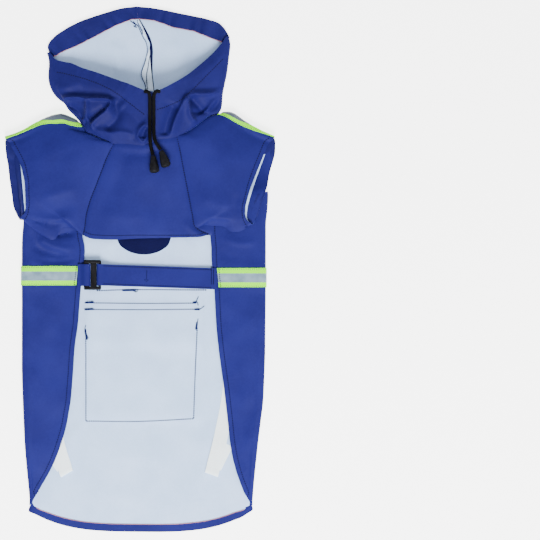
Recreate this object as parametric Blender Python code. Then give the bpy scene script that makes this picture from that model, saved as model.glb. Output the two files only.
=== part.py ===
"""Dog raincoat laid flat on its back, belly side up, as one set of closed solids.

The sizes below are millimetres and the objects are built in metres. +X is the right of the laid
coat, +Y its hood end and +Z up. The origin lies under the middle of the coat, on the surface.
Every cloth piece is a wall made from a grid of points on its outer face, moved in by the cloth's
thickness. Neighbouring pieces share the points of their seam, each set back by half of the gap.
"""
import math

import bmesh
import bpy
import numpy as np
from mathutils import Vector

METRE = 0.001

# Driving sizes
CLOTH = 1.0
GAP = 0.3
SEAM_SETBACK = 0.22
TAPE_THICKNESS = 0.9
TAPE_WIDTH = 24.7
CENTRE_X = 5.0
CENTRE_HALF_WIDTH = 154.6
SIDE_FOLD_RADIUS = 4.0
SLEEVE_FOLD_RADIUS = 4.0
HOOD_FOLD_RADIUS = 5.0
CORNER_FOLD_RADIUS = 3.0
NECK_FOLD_RADIUS = 2.4
NAPE_FADE = 3.0
LAST_PLAIN_X = 81.0
SHOULDER_BASE = 2.2
FLAP_EDGE_TOP = 4.9
LIFT_RAMP = 9.0
LIFT_MARGIN = 1.6
ROW_SLOPE = -0.0075

# Belly tape, pocket and its flap on the outside of the back: y limits and half widths
TAPE_TOP = 2.1
TAPE_BOTTOM = TAPE_TOP - TAPE_WIDTH
FLAP_TOP = -35.4
FLAP_BOTTOM = -96.3
FLAP_HALF_WIDTH = 71.0
POCKET_TOP = -51.0
POCKET_BOTTOM = -191.8
POCKET_HALF_WIDTH = 68.6
POCKET_ROWS = [POCKET_TOP, -74, FLAP_BOTTOM - LIFT_MARGIN, -106.9, -140, POCKET_BOTTOM]

# Leash slit in the back
SLIT_BOTTOM = 51.0
SLIT_HALF_WIDTH = 1.0

# Hem curve: depth in the middle, rise toward the corners and how late it turns up
HEM_MIDDLE_Y = -342.0
HEM_RISE = 34.0
HEM_REACH = 145.0
HEM_POWER = 3.4

# Outlines of the laid coat, one (x, y) row for each point that the shape needs
BODY_OUTLINE = {
    "left_fold": [(-151.6, 100), (-151.6, 58), (-153.0, 45.6), (-153.6, 30), (-153.7, -135), (-152.1, -181),
                  (-149.8, -232), (-146.4, -270), (-143.1, -299), (-143.8, -308.4)],
    "left_edge": [(-75.5, 70), (-75.5, 48), (-73.7, 34.6), (-71, 25.5), (-71.9, 16.4), (-72.8, 9),
                  (-77.1, -26), (-80.3, -69), (-84.9, -102), (-87.1, -136), (-90, -172), (-96.1, -207),
                  (-103.9, -232), (-112.8, -255), (-126.4, -279), (-139.0, -300.5)],
    "right_edge": [(90.6, 70), (90.8, 48), (92.6, 26), (92.8, 11), (96.5, -27), (99.3, -80), (103.2, -114),
                   (108.8, -154), (113.2, -192), (116.6, -225), (122.2, -255), (131.2, -281.5),
                   (141.0, -304)],
    "right_fold": [(163.8, 100), (165.3, 84), (164.9, 72), (163.5, 60), (163.3, -40), (162.5, -114),
                   (160.3, -170), (153.5, -225), (149.1, -266), (145.2, -306)],
}

# Top of the back from its middle to the side: neckline, neck corner, armhole, side fold (x is
# measured from the centre line, the left half with a minus sign)
BACK_TOP = {
    "x": [0, 24, 48, 72.5, 81, 104, 126.5, 151, 154.6],
    "y": [102.4, 104.5, 110, 124, 158, 150, 137.5, 113.5, 97],
}

# Seam lines and free edges of the front pieces: (x, y, z of the outer face)
LEFT = {
    "side": -1,
    "shoulder_fold": [(-79.6, 191.6), (-84.6, 193.2), (-91.4, 197.2), (-100.1, 200.4), (-107.5, 200),
                      (-116.6, 197.7), (-127.5, 193.1), (-141.2, 185.8), (-150.3, 180.4),
                      (-162.2, 174.4), (-172, 171.0)],
    "neck_inward": (0.74, -0.68),
    "neck_sleeve": [(-72.8, 185.4, 10), (-71.9, 177.1, 11.5), (-63.7, 174.4, 13), (-54.6, 170.8, 15),
                    (-35.1, 162.2, 18)],
    "neck_chest": [(-35.1, 162.2, 18), (-10.7, 160.9, 21), (2.3, 159.2, 22), (10.1, 160.5, 22.3)],
    "back_neck": [(-76.8, 175, 0.8), (-76, 158, 0)],
    "raglan": [(-35.1, 162.2, 18), (-43.4, 143.5, 17), (-54.6, 114.3, 15), (-63.6, 92, 13),
               (-69.2, 74, 11.5), (-72.5, 51.7, 10)],
    "chest_corner": (-74.9, 43.8, 9.5),
    "underarm": [(-72.5, 51.7, 10), (-74.9, 43.8, 9.5), (-86.7, 52.3, 8), (-100.1, 53.8, 8.4),
                 (-112.7, 37.4, 9.2), (-128.5, 44.5, 10), (-142, 54, 10.6), (-151, 61.8, 10.8)],
    "cuff_front": [(-167.5, 165.5, 8), (-165, 160.7, 9.5), (-158.6, 148, 12), (-153.9, 137.1, 13.5),
                   (-150.8, 124.2, 14.5), (-148.5, 110.6, 15), (-148.1, 96.9, 15), (-148.1, 78.7, 13.5),
                   (-150.3, 71.3, 12.5), (-154.6, 66.8, 11)],
    "cuff_back": [(-172, 166, 0), (-171.8, 159, 0), (-171.2, 151.6, 0), (-170, 143, 0),
                  (-168.4, 133.5, 0), (-166.9, 115, 0), (-165.6, 97, 0), (-164, 79, 0),
                  (-157.2, 64.9, 0)],
    "armhole_end": [(-152.0, 97, 0), (-151.9, 79, 0), (-151.7, 62.9, 0)],
    "hood_fold": [(-79.6, 191.6), (-82.6, 198.8), (-88.6, 207.6), (-96.3, 214.9), (-105, 219.8),
                  (-111.3, 227), (-115.3, 236.7), (-117.8, 249.9), (-118.2, 268), (-119.1, 280.5)],
    "hood_top": [(-5.2, 340.9, 0), (-8.3, 342, 0), (-30.8, 336.9, 0), (-55.6, 329.5, 0),
                 (-80.5, 320.4, 0), (-100.4, 309.6, 0), (-113.6, 298, 0), (-119.2, 288, 0)],
    "hood_edge": [(-109.5, 272, 8.5), (-100.4, 268.9, 11), (-90.5, 267.1, 13), (-75.7, 260.7, 16.5),
                  (-55.6, 254.1, 20.5), (-30.8, 244.9, 25), (-14.2, 239.1, 28), (5.7, 230.6, 31),
                  (16.2, 227.8, 32)],
}
RIGHT = {
    "side": 1,
    "shoulder_fold": [(103.7, 202.3), (108.5, 203.0), (113.8, 203.3), (119.2, 203.1), (124.7, 199.1),
                      (133.9, 192.7), (143, 186.7), (152.1, 181.3), (163.9, 174.9), (171.3, 171.3)],
    "neck_inward": (-0.75, -0.66),
    "neck_sleeve": [(94.6, 199.4, 9), (90.7, 198.4, 9.6), (81.6, 191.8, 12), (72.5, 184.5, 14),
                    (62.7, 178, 16), (49.4, 171.5, 18)],
    "neck_chest": [(49.4, 171.5, 18), (39.6, 168.7, 20), (25.1, 166.9, 21.5), (10.1, 160.5, 22.3)],
    "back_neck": [(95, 180, 0.8), (86, 158, 0)],
    "raglan": [(49.4, 171.5, 18), (55, 141.4, 17), (60.6, 112.1, 15), (66.2, 82.9, 13),
               (70.7, 60.6, 11.5), (74.5, 52.3, 10.5)],
    "chest_corner": (89.6, 44.4, 8.6),
    "underarm": [(74.5, 52.3, 10.5), (83, 55.8, 9.5), (93.4, 55.6, 9.5), (108.3, 54.7, 9.6),
                 (118, 48.4, 9.8), (129.3, 48.4, 10.8), (135, 51, 12.4), (138.6, 53.2, 13.6)],
    "cuff_front": [(164.6, 163.6, 8), (161.2, 155.3, 10.5), (154.8, 137.1, 14), (148.5, 118.8, 16),
                   (143, 103.3, 17.5), (138.5, 87.8, 18), (136.6, 78.7, 18), (136.6, 67.5, 17.5),
                   (139.4, 62.1, 17), (144.6, 58.4, 16)],
    "cuff_back": [(172, 166, 0), (172.2, 159, 0), (172, 151.6, 0), (170.4, 144, 0), (167.6, 133.5, 0),
                  (164.8, 121.5, 0.4), (163.6, 109, 4.5), (161.5, 99, 9), (155.6, 79, 9),
                  (148.6, 59.6, 9)],
    "armhole_end": [(160.2, 106.0, 3.6), (154, 97.5, 9), (146, 79, 9), (139.5, 55.0, 9)],
    "hood_fold": [(103.7, 202.3), (105.2, 206.5), (106.7, 214.2), (107.6, 226.7), (110.2, 239.9),
                  (113.5, 256.6), (116.5, 283.1), (116.2, 294), (115.3, 301.9)],
    "hood_top": [(-5.2, 340.9, 0), (-0.9, 340.6, 0), (19, 338.6, 0), (43.9, 333.6, 0),
                 (68.6, 328.6, 0), (90.2, 323.6, 0), (105, 317, 0), (112.8, 309.5, 0)],
    "hood_edge": [(106.1, 293, 9.5), (93.3, 278.1, 13), (77, 263.2, 18), (60.5, 249.9, 23),
                  (43.9, 239.9, 27), (27.3, 231.2, 31), (16.2, 227.8, 32)],
}
HOOD_CENTRE = [(5, 102.4, 0), (10.5, 160.9, 0), (16.5, 219.4, 0), (16.8, 249.3, 0), (14, 274, 0),
               (10.1, 296.1, 0), (-0.9, 320.8, 0), (-5.2, 340.9, 0)]
THROAT = [(10.1, 160.5, 22.3), (15.2, 180, 26), (16.2, 196, 28.6), (16.2, 227.8, 32)]
CHEST_HEM = [(-74.9, 43.8, 9.5), (-63.6, 39.2, 10.2), (-34.4, 37.6, 11.5), (-3.1, 39.2, 12),
             (41.6, 40.2, 11.5), (79.7, 41.4, 9.2), (89.6, 44.4, 8.6)]

# Ridges and hollows of the front hood: (x, y) start, (x, y) end, half width, height
HOOD_FOLDS = [
    ((-103, 214), (-42, 214), 7, 5.0),
    ((-42, 214), (-66, 182), 7, 6.0),
    ((-28, 212), (-12, 196), 8, -5.0),
    ((8, 186), (-2, 166), 5, 2.5),
    ((62, 220), (40, 176), 7, 5.0),
    ((62, 220), (76, 190), 7, 3.5),
    ((92, 214), (84, 202), 8, -3.0),
]

# Extra opening between hood and sleeve at the fold corner of the neck
CORNER_EASE = 0.2

# Counts of grid steps along the shared lines
CHEST_STEPS = 7
SLEEVE_NECK_STEPS = 6
BACK_NECK_STEPS = 3
RAGLAN_STEPS = 6
SLEEVE_STEPS = 8
HOOD_STEPS = 14
FOLD_STEPS = 4
FLAP_STEPS = 6

# Body rows from the underarm down: y on the centre line, and how far each follows the hem's curve
FLAP_SHARES = np.linspace(1, 0, FLAP_STEPS + 1)
UPPER_SHARES = [1, 0.856, 0.6, 0.35, 0.15]
BODY_ROWS = {
    "middle_y": [58, SLIT_BOTTOM, 40, 27, 14.3, 4, -24.4, -33.4, -39, -49.2, -74, -97.9, -106.9, -130,
                 -151, -172, -193.6, -202.6, -228, -252, -275, -297, -318, -335, HEM_MIDDLE_Y],
    "turn": [0] * 18 + [0.05, 0.15, 0.35, 0.6, 0.85, 1, 1],
}
TIP_RISE = 10.0
HEM_CORNERS = {"left": (-143.6, -308.4), "right": (145.0, -308.0)}
FOLD_COLUMNS = FOLD_STEPS - 1
BACK_COLUMNS = 2 * len(BACK_TOP["x"])

# Roundness of the sleeves and the hood
SLEEVE_SWELL = 2.0
UNDERARM_BULGE = (0.3, 1.7)
SLEEVE_RADII = {"share": [0, 0.25], "radius": [NECK_FOLD_RADIUS, SLEEVE_FOLD_RADIUS]}
HOOD_RADII = {
    "share": [0, 0.3, 0.8, 1],
    "radius": [NECK_FOLD_RADIUS, HOOD_FOLD_RADIUS, HOOD_FOLD_RADIUS, CORNER_FOLD_RADIUS],
}

# Half-moon facing round the leash slit, on the inside of the back
FACING_RADIUS = 36.0
FACING_SHOULDER_Y = 44.0
FACING_DEPTH = 25.5
FACING_X = [-36, -33, -24, -12, -SLIT_HALF_WIDTH, SLIT_HALF_WIDTH, 12, 24, 33, 36]
FACING_Y = [97, 95, 74, SLIT_BOTTOM]

# Ends of the belly tape in x, and the shoulder tape's reach from the fold and from the neck
BELLY_TAPE_ENDS = (-81.5, 101.1)
SHOULDER_TAPE_FRONT = 9.5
SHOULDER_TAPE_START = 0.75

# Belly strap, loop and slide buckle
STRAP_THICKNESS = 1.2
LOOP_THICKNESS = 1.0
STRAP_HALF_WIDTH = 13.8
LOOP_HALF_WIDTH = 14.0
LOOP_MIDDLE_Y = -8.2
STRAP_MIDDLE_Y = -7.6
STRAP_SLOPE = -0.0348
BUCKLE_X = (-72.8, -50.4)
BUCKLE_Y = (-27.4, 11.4)
RAIL_WIDTH = 4.4
BUCKLE_BEVEL = 0.5
BAR_X = {"left": (-72.8, -66.2), "middle": (-63.7, -56.6), "right": (-53.8, -50.4)}
BAR_Z = (6.75, 8.9)
RAIL_Z = (6.0, 9.6)

# Outer faces of the loop and the strap from the side, as (x, z) points
LOOP_PATH = [(-81, 7.65), (-76, 7.8), (-73.6, 9.5), (-71.8, 10.25), (-66.8, 10.25), (-65.3, 9.6),
             (-64.8, 7.8), (-65.3, 5.9), (-66.8, 5.3), (-72, 5.3), (-81, 5.3)]
STRAP_PATH = [(99.8, 6.8), (93, 6.7), (75, 5.8), (45, 5.5), (20, 5.5), (-10, 5.6), (-30, 6.0), (-42, 7.7),
              (-47.5, 9.7), (-50.4, 10.5), (-53.2, 10.5), (-54.9, 9.8), (-55.5, 8), (-54.9, 5.9),
              (-53, 5.1), (-49, 5.0), (-44, 4.1), (-38, 2.9), (-30, 2.6), (-10, 2.6), (12, 2.6)]

# Leg elastics: flat loops, each a long strand that folds over into a short one
ELASTIC_WIDTH = 18.0
ELASTIC_THICKNESS = 1.0
ELASTIC_LOW = CLOTH + GAP
ELASTIC_HIGH = ELASTIC_LOW + 2 * ELASTIC_THICKNESS + GAP
ELASTIC_LONG_STEPS = 10
ELASTIC_SHORT_STEPS = 4
ELASTICS = {
    "leg_elastic_left": {
        "long": [(-118, -50), (-118.5, -110), (-115, -170), (-107.3, -225.5), (-95.5, -266.3)],
        "short": [(-95.5, -266.3), (-107, -247), (-118, -227)],
        "fold_inward": (-0.42, 0.908),
    },
    "leg_elastic_right": {
        "long": [(115, -54), (117, -110), (115.3, -160), (104.3, -214), (92.7, -266.9)],
        "short": [(92.7, -266.9), (106, -247), (122, -227)],
        "fold_inward": (0.40, 0.917),
    },
}

# Bend where the long strand turns over into the short one: (reach inward, share of the height)
ELASTIC_BEND = [(1.3, 0.0), (0.35, 0.15), (0.0, 0.5), (0.35, 0.85), (1.3, 1.0)]

# Drawstring and its bell-shaped ends
CORD_DIAMETER = 4.5
CORD_STEPS = 22
CORDS = {
    "drawcord_left": [(4.4, 234.0, 35.2), (9.6, 231.0, 35.6), (12.6, 226.0, 35.4), (13.9, 219, 34.4),
                      (13.9, 205, 32.7), (13.8, 190, 30.6), (13.8, 172, 27.8), (14.4, 160, 26.0),
                      (16.3, 151, 25.2), (17.6, 147.0, 25.0)],
    "drawcord_right": [(28.6, 234.6, 35.0), (23.4, 231.4, 35.5), (20.1, 226.2, 35.4), (18.8, 219, 34.4),
                       (18.8, 205, 32.7), (18.8, 190, 30.8), (18.9, 173, 28.4), (20.6, 164.5, 27.2),
                       (24.4, 158, 26.2), (27.3, 154.0, 25.7)],
}
STOPPER_LENGTH = 22.0
STOPPER_SIDES = 14
STOPPER_PROFILE = {
    "at": [0, 0.6, 3.5, 9, 16, 20, 21.4, 22],
    "radius": [2.3, 2.9, 3.5, 4.9, 6.1, 6.5, 6.2, 5.2],
}
STOPPERS = {
    "cord_stopper_left": {"top": (17.75, 146.1, 25.0), "end": (19.8, 124.0, 27.4)},
    "cord_stopper_right": {"top": (28.1, 152.5, 25.6), "end": (35.2, 131.7, 27.6)},
}

# Flat colours, roughness
BLUE = ((0.027, 0.065, 0.30), 0.5)
TAPE_LIME = ((0.55, 0.95, 0.12), 0.5)
BLACK_PLASTIC = ((0.01, 0.01, 0.012), 0.35)
WHITE_ELASTIC = ((0.78, 0.83, 0.87), 0.8)
CORD_BLACK = ((0.012, 0.012, 0.014), 0.8)


# ---------------------------------------------------------------- lines and grids

def smooth_line(points, per_span=12):
    """Catmull-Rom curve through the points, as a dense line."""
    points = np.array(points, dtype=float)
    padded = np.vstack([2 * points[0] - points[1], points, 2 * points[-1] - points[-2]])
    line = []
    for before, start, end, after in zip(padded[:-3], padded[1:-2], padded[2:-1], padded[3:]):
        for step in range(per_span):
            t = step / per_span
            line.append(0.5 * (2 * start + (end - before) * t
                               + (2 * before - 5 * start + 4 * end - after) * t ** 2
                               + (3 * start - before - 3 * end + after) * t ** 3))
    line.append(points[-1])
    return np.array(line)


def divide(points, steps):
    """Evenly spaced points along the smooth curve through the given points."""
    line = smooth_line(points)
    length = np.concatenate([[0], np.cumsum(np.linalg.norm(np.diff(line, axis=0), axis=1))])
    wanted = np.linspace(0, length[-1], steps + 1)
    return np.column_stack([np.interp(wanted, length, line[:, axis]) for axis in range(line.shape[1])])


def joined(*lines):
    """Lines that start where the one before ends, as one line."""
    first, *others = [np.array(line, dtype=float) for line in lines]
    return np.vstack([first] + [line[1:] for line in others])


def patch(bottom, top, left, right, bottom_fade=1.0):
    """Surface between four lines: bottom and top run along the columns, left and right along the
    rows. The bottom's own shape fades out upward, faster with a higher bottom_fade."""
    rows, columns = len(left), len(bottom)
    u = np.linspace(0, 1, columns)[None, :, None]
    v = np.linspace(0, 1, rows)[:, None, None]
    ruled = (1 - u) * left[:, None] + u * right[:, None]
    bottom_shape = bottom[None] - (1 - u) * bottom[0] - u * bottom[-1]
    top_shape = top[None] - (1 - u) * top[0] - u * top[-1]
    return ruled + (1 - v) ** bottom_fade * bottom_shape + v * top_shape


def inward_of(line, side, first):
    """Unit vectors in the plane, square to a line on one side of its travel, eased along it."""
    tangent = np.gradient(line[:, :2], axis=0)
    square = side * np.column_stack([tangent[:, 1], -tangent[:, 0]])
    square /= np.linalg.norm(square, axis=1)[:, None]
    square[0] = first
    for _ in range(2):
        square[1:-1] = (square[:-2] + 2 * square[1:-1] + square[2:]) / 4
    return square / np.linalg.norm(square, axis=1)[:, None]


def fold_arc(edge, inward, radius, base, steps):
    """Half circle round a fold's edge, from the lower layer to the upper one."""
    angles = np.linspace(-math.pi / 2, math.pi / 2, steps + 1)
    reach = radius * (1 - np.cos(angles))
    height = base + radius * (1 + np.sin(angles))
    plan = np.array(edge)[None, :2] + reach[:, None] * np.array(inward)[None, :2]
    return np.column_stack([plan, height])


def plateau(value, low, high):
    """1 between two limits and a margin, falling to 0 over the ramp beyond them."""
    outside = np.maximum(low - LIFT_MARGIN - value, value - high - LIFT_MARGIN)
    return np.clip(1 - outside / LIFT_RAMP, 0, 1)


def ridge_height(x, y, folds):
    """Sum of the soft ridges and hollows at a place."""
    total = 0.0
    for start, end, half_width, height in folds:
        start, run = np.array(start), np.array(end) - np.array(start)
        share = np.clip(np.dot(np.array([x, y]) - start, run) / np.dot(run, run), 0, 1)
        distance = np.linalg.norm(np.array([x, y]) - start - share * run)
        total += height * math.exp(-(distance / half_width) ** 2)
    return total


# ---------------------------------------------------------------- walls

class Wall:
    """A cloth wall: the grid of its outer face, its normals and the cells that exist."""

    def __init__(self, name, grid, outward, closed=False, cells=None, thickness=CLOTH):
        self.name = name
        self.grid = np.array(grid, dtype=float)
        self.closed = closed
        self.thickness = thickness
        rows, columns = self.grid.shape[:2]
        spans = columns if closed else columns - 1
        self.cells = np.ones((rows - 1, spans), bool) if cells is None else cells
        self.normals = self.find_normals() * outward

    def corners(self, row, column):
        after = (column + 1) % self.grid.shape[1]
        return (row, column), (row, after), (row + 1, after), (row + 1, column)

    def find_normals(self):
        normals = np.zeros_like(self.grid)
        for row, column in zip(*np.nonzero(self.cells)):
            a, b, c, d = self.corners(row, column)
            normal = np.cross(self.grid[c] - self.grid[a], self.grid[d] - self.grid[b])
            normal /= np.linalg.norm(normal) + 1e-12
            for corner in (a, b, c, d):
                normals[corner] += normal
        lengths = np.linalg.norm(normals, axis=2, keepdims=True)
        return normals / np.maximum(lengths, 1e-9)

    def set_back(self, row=None, column=None, distance=SEAM_SETBACK):
        """Move an outer row or column of points in from its seam."""
        grid = self.grid if row is not None else self.grid.transpose(1, 0, 2)
        index = row if row is not None else column
        neighbour = 1 if index == 0 else index - 1
        run = grid[neighbour] - grid[index]
        length = np.maximum(np.linalg.norm(run, axis=1, keepdims=True), 1e-9)
        grid[index] += run / length * distance

    def triangles(self):
        rows, columns = self.grid.shape[:2]
        inner = rows * columns

        def number(corner):
            return corner[0] * columns + corner[1]

        faces = []
        for row, column in zip(*np.nonzero(self.cells)):
            a, b, c, d = [number(corner) for corner in self.corners(row, column)]
            faces += [(a, b, c), (a, c, d)]
            faces += [(c + inner, b + inner, a + inner), (d + inner, c + inner, a + inner)]
            for start, end, missing in self.open_sides(row, column, (a, b, c, d)):
                if missing:
                    faces += [(end, start, start + inner), (end, start + inner, end + inner)]
        return faces

    def open_sides(self, row, column, corners):
        a, b, c, d = corners
        last_row, spans = self.cells.shape

        def absent(i, j):
            if self.closed:
                j %= spans
            return not (0 <= i < last_row and 0 <= j < spans and self.cells[i, j])

        return ((a, b, absent(row - 1, column)), (b, c, absent(row, column + 1)),
                (c, d, absent(row + 1, column)), (d, a, absent(row, column - 1)))

    def build(self, material):
        inner = self.grid - self.normals * self.thickness
        points = np.vstack([self.grid.reshape(-1, 3), inner.reshape(-1, 3)])
        return add_object(self.name, points, self.triangles(), material)


def ease_corner(wall, columns, inward, toward):
    """Move the fold points of the first row away from the seam that they share."""
    away = np.array([-inward[1], inward[0]]) * toward
    wall.grid[0, columns, :2] += away * CORNER_EASE


def share_seam_normals(walls):
    """Give points that several walls share one normal, so that their edges stay parallel."""
    sums = {}
    for wall in walls:
        for point, normal in zip(wall.grid.reshape(-1, 3), wall.normals.reshape(-1, 3)):
            key = tuple(np.round(point, 1))
            sums[key] = sums.get(key, np.zeros(3)) + normal
    for wall in walls:
        flat = wall.normals.reshape(-1, 3)
        for index, point in enumerate(wall.grid.reshape(-1, 3)):
            total = sums[tuple(np.round(point, 1))]
            if np.linalg.norm(total) > 0.1:
                flat[index] = total / np.linalg.norm(total)


def add_object(name, points, faces, material):
    """Mesh object from points in millimetres; unused points are dropped."""
    mesh = bpy.data.meshes.new(name)
    mesh.from_pydata([Vector(point) * METRE for point in points], [], faces)
    work = bmesh.new()
    work.from_mesh(mesh)
    loose = [vert for vert in work.verts if not vert.link_faces]
    bmesh.ops.delete(work, geom=loose, context="VERTS")
    bmesh.ops.recalc_face_normals(work, faces=work.faces)
    work.to_mesh(mesh)
    work.free()
    mesh.materials.append(material)
    item = bpy.data.objects.new(name, mesh)
    bpy.context.scene.collection.objects.link(item)
    return item


def make_material(name, look):
    colour, roughness = look
    material = bpy.data.materials.new(name)
    material.use_nodes = True
    shader = material.node_tree.nodes["Principled BSDF"]
    shader.inputs["Base Color"].default_value = (*colour, 1)
    shader.inputs["Roughness"].default_value = roughness
    material.diffuse_color = (*colour, 1)
    return material


# ---------------------------------------------------------------- shared seams

def halves_of_back_top(side):
    """Points of the back's top edge in one half, from the middle outward to the armhole."""
    points = [(CENTRE_X + side * x, y, 0.0) for x, y in zip(BACK_TOP["x"], BACK_TOP["y"])]
    return np.array(points)


def find_seams(half):
    """Seam lines of one half of the coat, each cut into its own count of steps."""
    inward = np.array(half["neck_inward"]) / np.linalg.norm(half["neck_inward"])
    arc = fold_arc(half["hood_fold"][0], inward, NECK_FOLD_RADIUS, SHOULDER_BASE, FOLD_STEPS)
    back_top = halves_of_back_top(half["side"])
    return {
        "neck_inward": inward,
        "neck_arc": arc,
        "neck_sleeve": divide([arc[-1], *half["neck_sleeve"]], SLEEVE_NECK_STEPS),
        "neck_chest": divide(half["neck_chest"], CHEST_STEPS),
        "back_neck": divide([arc[0], *half["back_neck"]], BACK_NECK_STEPS),
        "raglan": divide(half["raglan"], RAGLAN_STEPS),
        "nape": back_top[:5],
        "armhole": back_top[4:8],
    }


# ---------------------------------------------------------------- body

def outline_x(name, y):
    points = sorted(BODY_OUTLINE[name], key=lambda point: point[1])
    return float(np.interp(y, [point[1] for point in points], [point[0] for point in points]))


def pocket_height(y):
    """Height of the pocket's lower face: it lies on its flap and then comes down to the ground."""
    return (CLOTH + GAP) * plateau(y, FLAP_BOTTOM, FLAP_TOP)


def back_height(x, y):
    """Height of the back's lower face over the tape, the pocket and the pocket flap."""
    offset = x - CENTRE_X
    over_tape = (TAPE_THICKNESS + GAP) * plateau(y, TAPE_BOTTOM, TAPE_TOP)
    over_flap = ((CLOTH + GAP) * plateau(offset, -FLAP_HALF_WIDTH, FLAP_HALF_WIDTH)
                 * plateau(y, FLAP_BOTTOM, FLAP_TOP))
    pocket_share = (plateau(offset, -FLAP_HALF_WIDTH, FLAP_HALF_WIDTH)
                    * plateau(y, POCKET_BOTTOM, POCKET_TOP))
    over_pocket = (pocket_height(y) + CLOTH + GAP) * pocket_share
    return float(max(over_tape, over_flap, over_pocket))


def turned_y(middle_y, turn, x):
    """Row height at x, bent up toward the corners as far as the row follows the hem."""
    return middle_y + turn * HEM_RISE * (abs(x) / HEM_REACH) ** HEM_POWER + ROW_SLOPE * (x - CENTRE_X)


def fold_side(side, y):
    name = "left_fold" if side < 0 else "right_fold"
    return outline_x(name, y)


def side_radius(turn):
    return SIDE_FOLD_RADIUS - turn


def flap_points(side, y, radius, base, tip_rise=0.0):
    """Outer face of one side flap in a row, from its free edge to the side fold."""
    fold_x = fold_side(side, y)
    edge_x = outline_x("left_edge" if side < 0 else "right_edge", y + tip_rise)
    start_x = fold_x - side * radius
    points = []
    for share in FLAP_SHARES:
        rise = (base + 2 * radius - FLAP_EDGE_TOP) * (1 - share) ** 1.5
        points.append((start_x + (edge_x - start_x) * share, y + tip_rise * share, FLAP_EDGE_TOP + rise))
    return points


def side_fold_points(side, y, radius, base):
    arc = fold_arc((fold_side(side, y), y), (-side, 0), radius, base, FOLD_STEPS)
    return [tuple(point) for point in arc[1:-1]]


def body_row(middle_y, turn=0.0, tip_rise=0.0):
    """Outer face of the body across one row: flap, fold, back, fold, flap."""
    halves = {}
    for side in (-1, 1):
        radius = side_radius(turn)
        side_y = turned_y(middle_y, turn, fold_side(side, middle_y))
        base = back_height(fold_side(side, side_y), middle_y)
        start = abs(fold_side(side, side_y) - CENTRE_X) - radius
        back = []
        for rel in BACK_TOP["x"]:
            plain, reach = LAST_PLAIN_X, CENTRE_HALF_WIDTH - LAST_PLAIN_X
            offset = rel if rel <= plain else plain + (rel - plain) / reach * (start - plain)
            x = CENTRE_X + side * (offset or SLIT_HALF_WIDTH)
            back.append((x, turned_y(middle_y, turn, x), back_height(x, middle_y)))
        flap = flap_points(side, side_y, radius, base, tip_rise)
        fold = side_fold_points(side, side_y, radius, base)
        halves[side] = flap + fold[::-1] + back[::-1]
    return halves[-1] + halves[1][::-1]


def upper_row(share):
    """Row between the underarm and the top edge of the back, share 1 on that edge."""
    halves = {}
    low = BODY_ROWS["middle_y"][0]
    for side in (-1, 1):
        back = []
        for rel, top in zip(BACK_TOP["x"], BACK_TOP["y"]):
            x = CENTRE_X + side * (rel or SLIT_HALF_WIDTH)
            y = low + ROW_SLOPE * (x - CENTRE_X) * (1 - share) + (top - low) * share
            if rel == BACK_TOP["x"][-1]:
                inset = SEAM_SETBACK if side < 0 else SIDE_FOLD_RADIUS
                x = fold_side(side, y) - side * inset
            back.append((x, y, 0.0))
        flap = flap_points(side, back[-1][1], SIDE_FOLD_RADIUS, 0.0)
        fold = side_fold_points(side, back[-1][1], SIDE_FOLD_RADIUS, 0.0)
        halves[side] = flap + fold[::-1] + back[::-1]
    return halves[-1] + halves[1][::-1]


def make_body():
    rows = [upper_row(share) for share in UPPER_SHARES]
    last = len(BODY_ROWS["middle_y"]) - 1
    for index, (middle_y, turn) in enumerate(zip(BODY_ROWS["middle_y"], BODY_ROWS["turn"])):
        tip_rise = TIP_RISE if index == last - 1 else 0.0
        rows.append(body_row(middle_y, turn, tip_rise))
    grid = np.array(rows)
    flap_end = FLAP_STEPS + 1 + FOLD_COLUMNS
    far_start = flap_end + BACK_COLUMNS - 1
    grid[-1, flap_end, :2] = HEM_CORNERS["left"]
    grid[-1, far_start, :2] = HEM_CORNERS["right"]
    cells = np.ones((len(rows) - 1, grid.shape[1] - 1), bool)
    upper = len(UPPER_SHARES)
    cells[:upper, :flap_end] = False
    cells[:upper, far_start + FOLD_STEPS + 2:] = False
    cells[0, far_start:] = False
    cells[-1, :flap_end] = False
    cells[-1, far_start:] = False
    slit_column = flap_end + len(BACK_TOP["x"]) - 1
    cells[1:upper + 1, slit_column] = False
    return Wall("body", grid, 1, cells=cells)


# ---------------------------------------------------------------- chest, sleeves and hood

def make_chest(left, right):
    neck = joined(left["neck_chest"], right["neck_chest"][::-1])
    left_side = joined(left["raglan"], [left["raglan"][-1], LEFT["chest_corner"]])
    right_side = joined(right["raglan"], [right["raglan"][-1], RIGHT["chest_corner"]])
    hem = divide(CHEST_HEM, 2 * CHEST_STEPS)
    return Wall("chest_panel", patch(neck, hem, left_side, right_side), -1)


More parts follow.
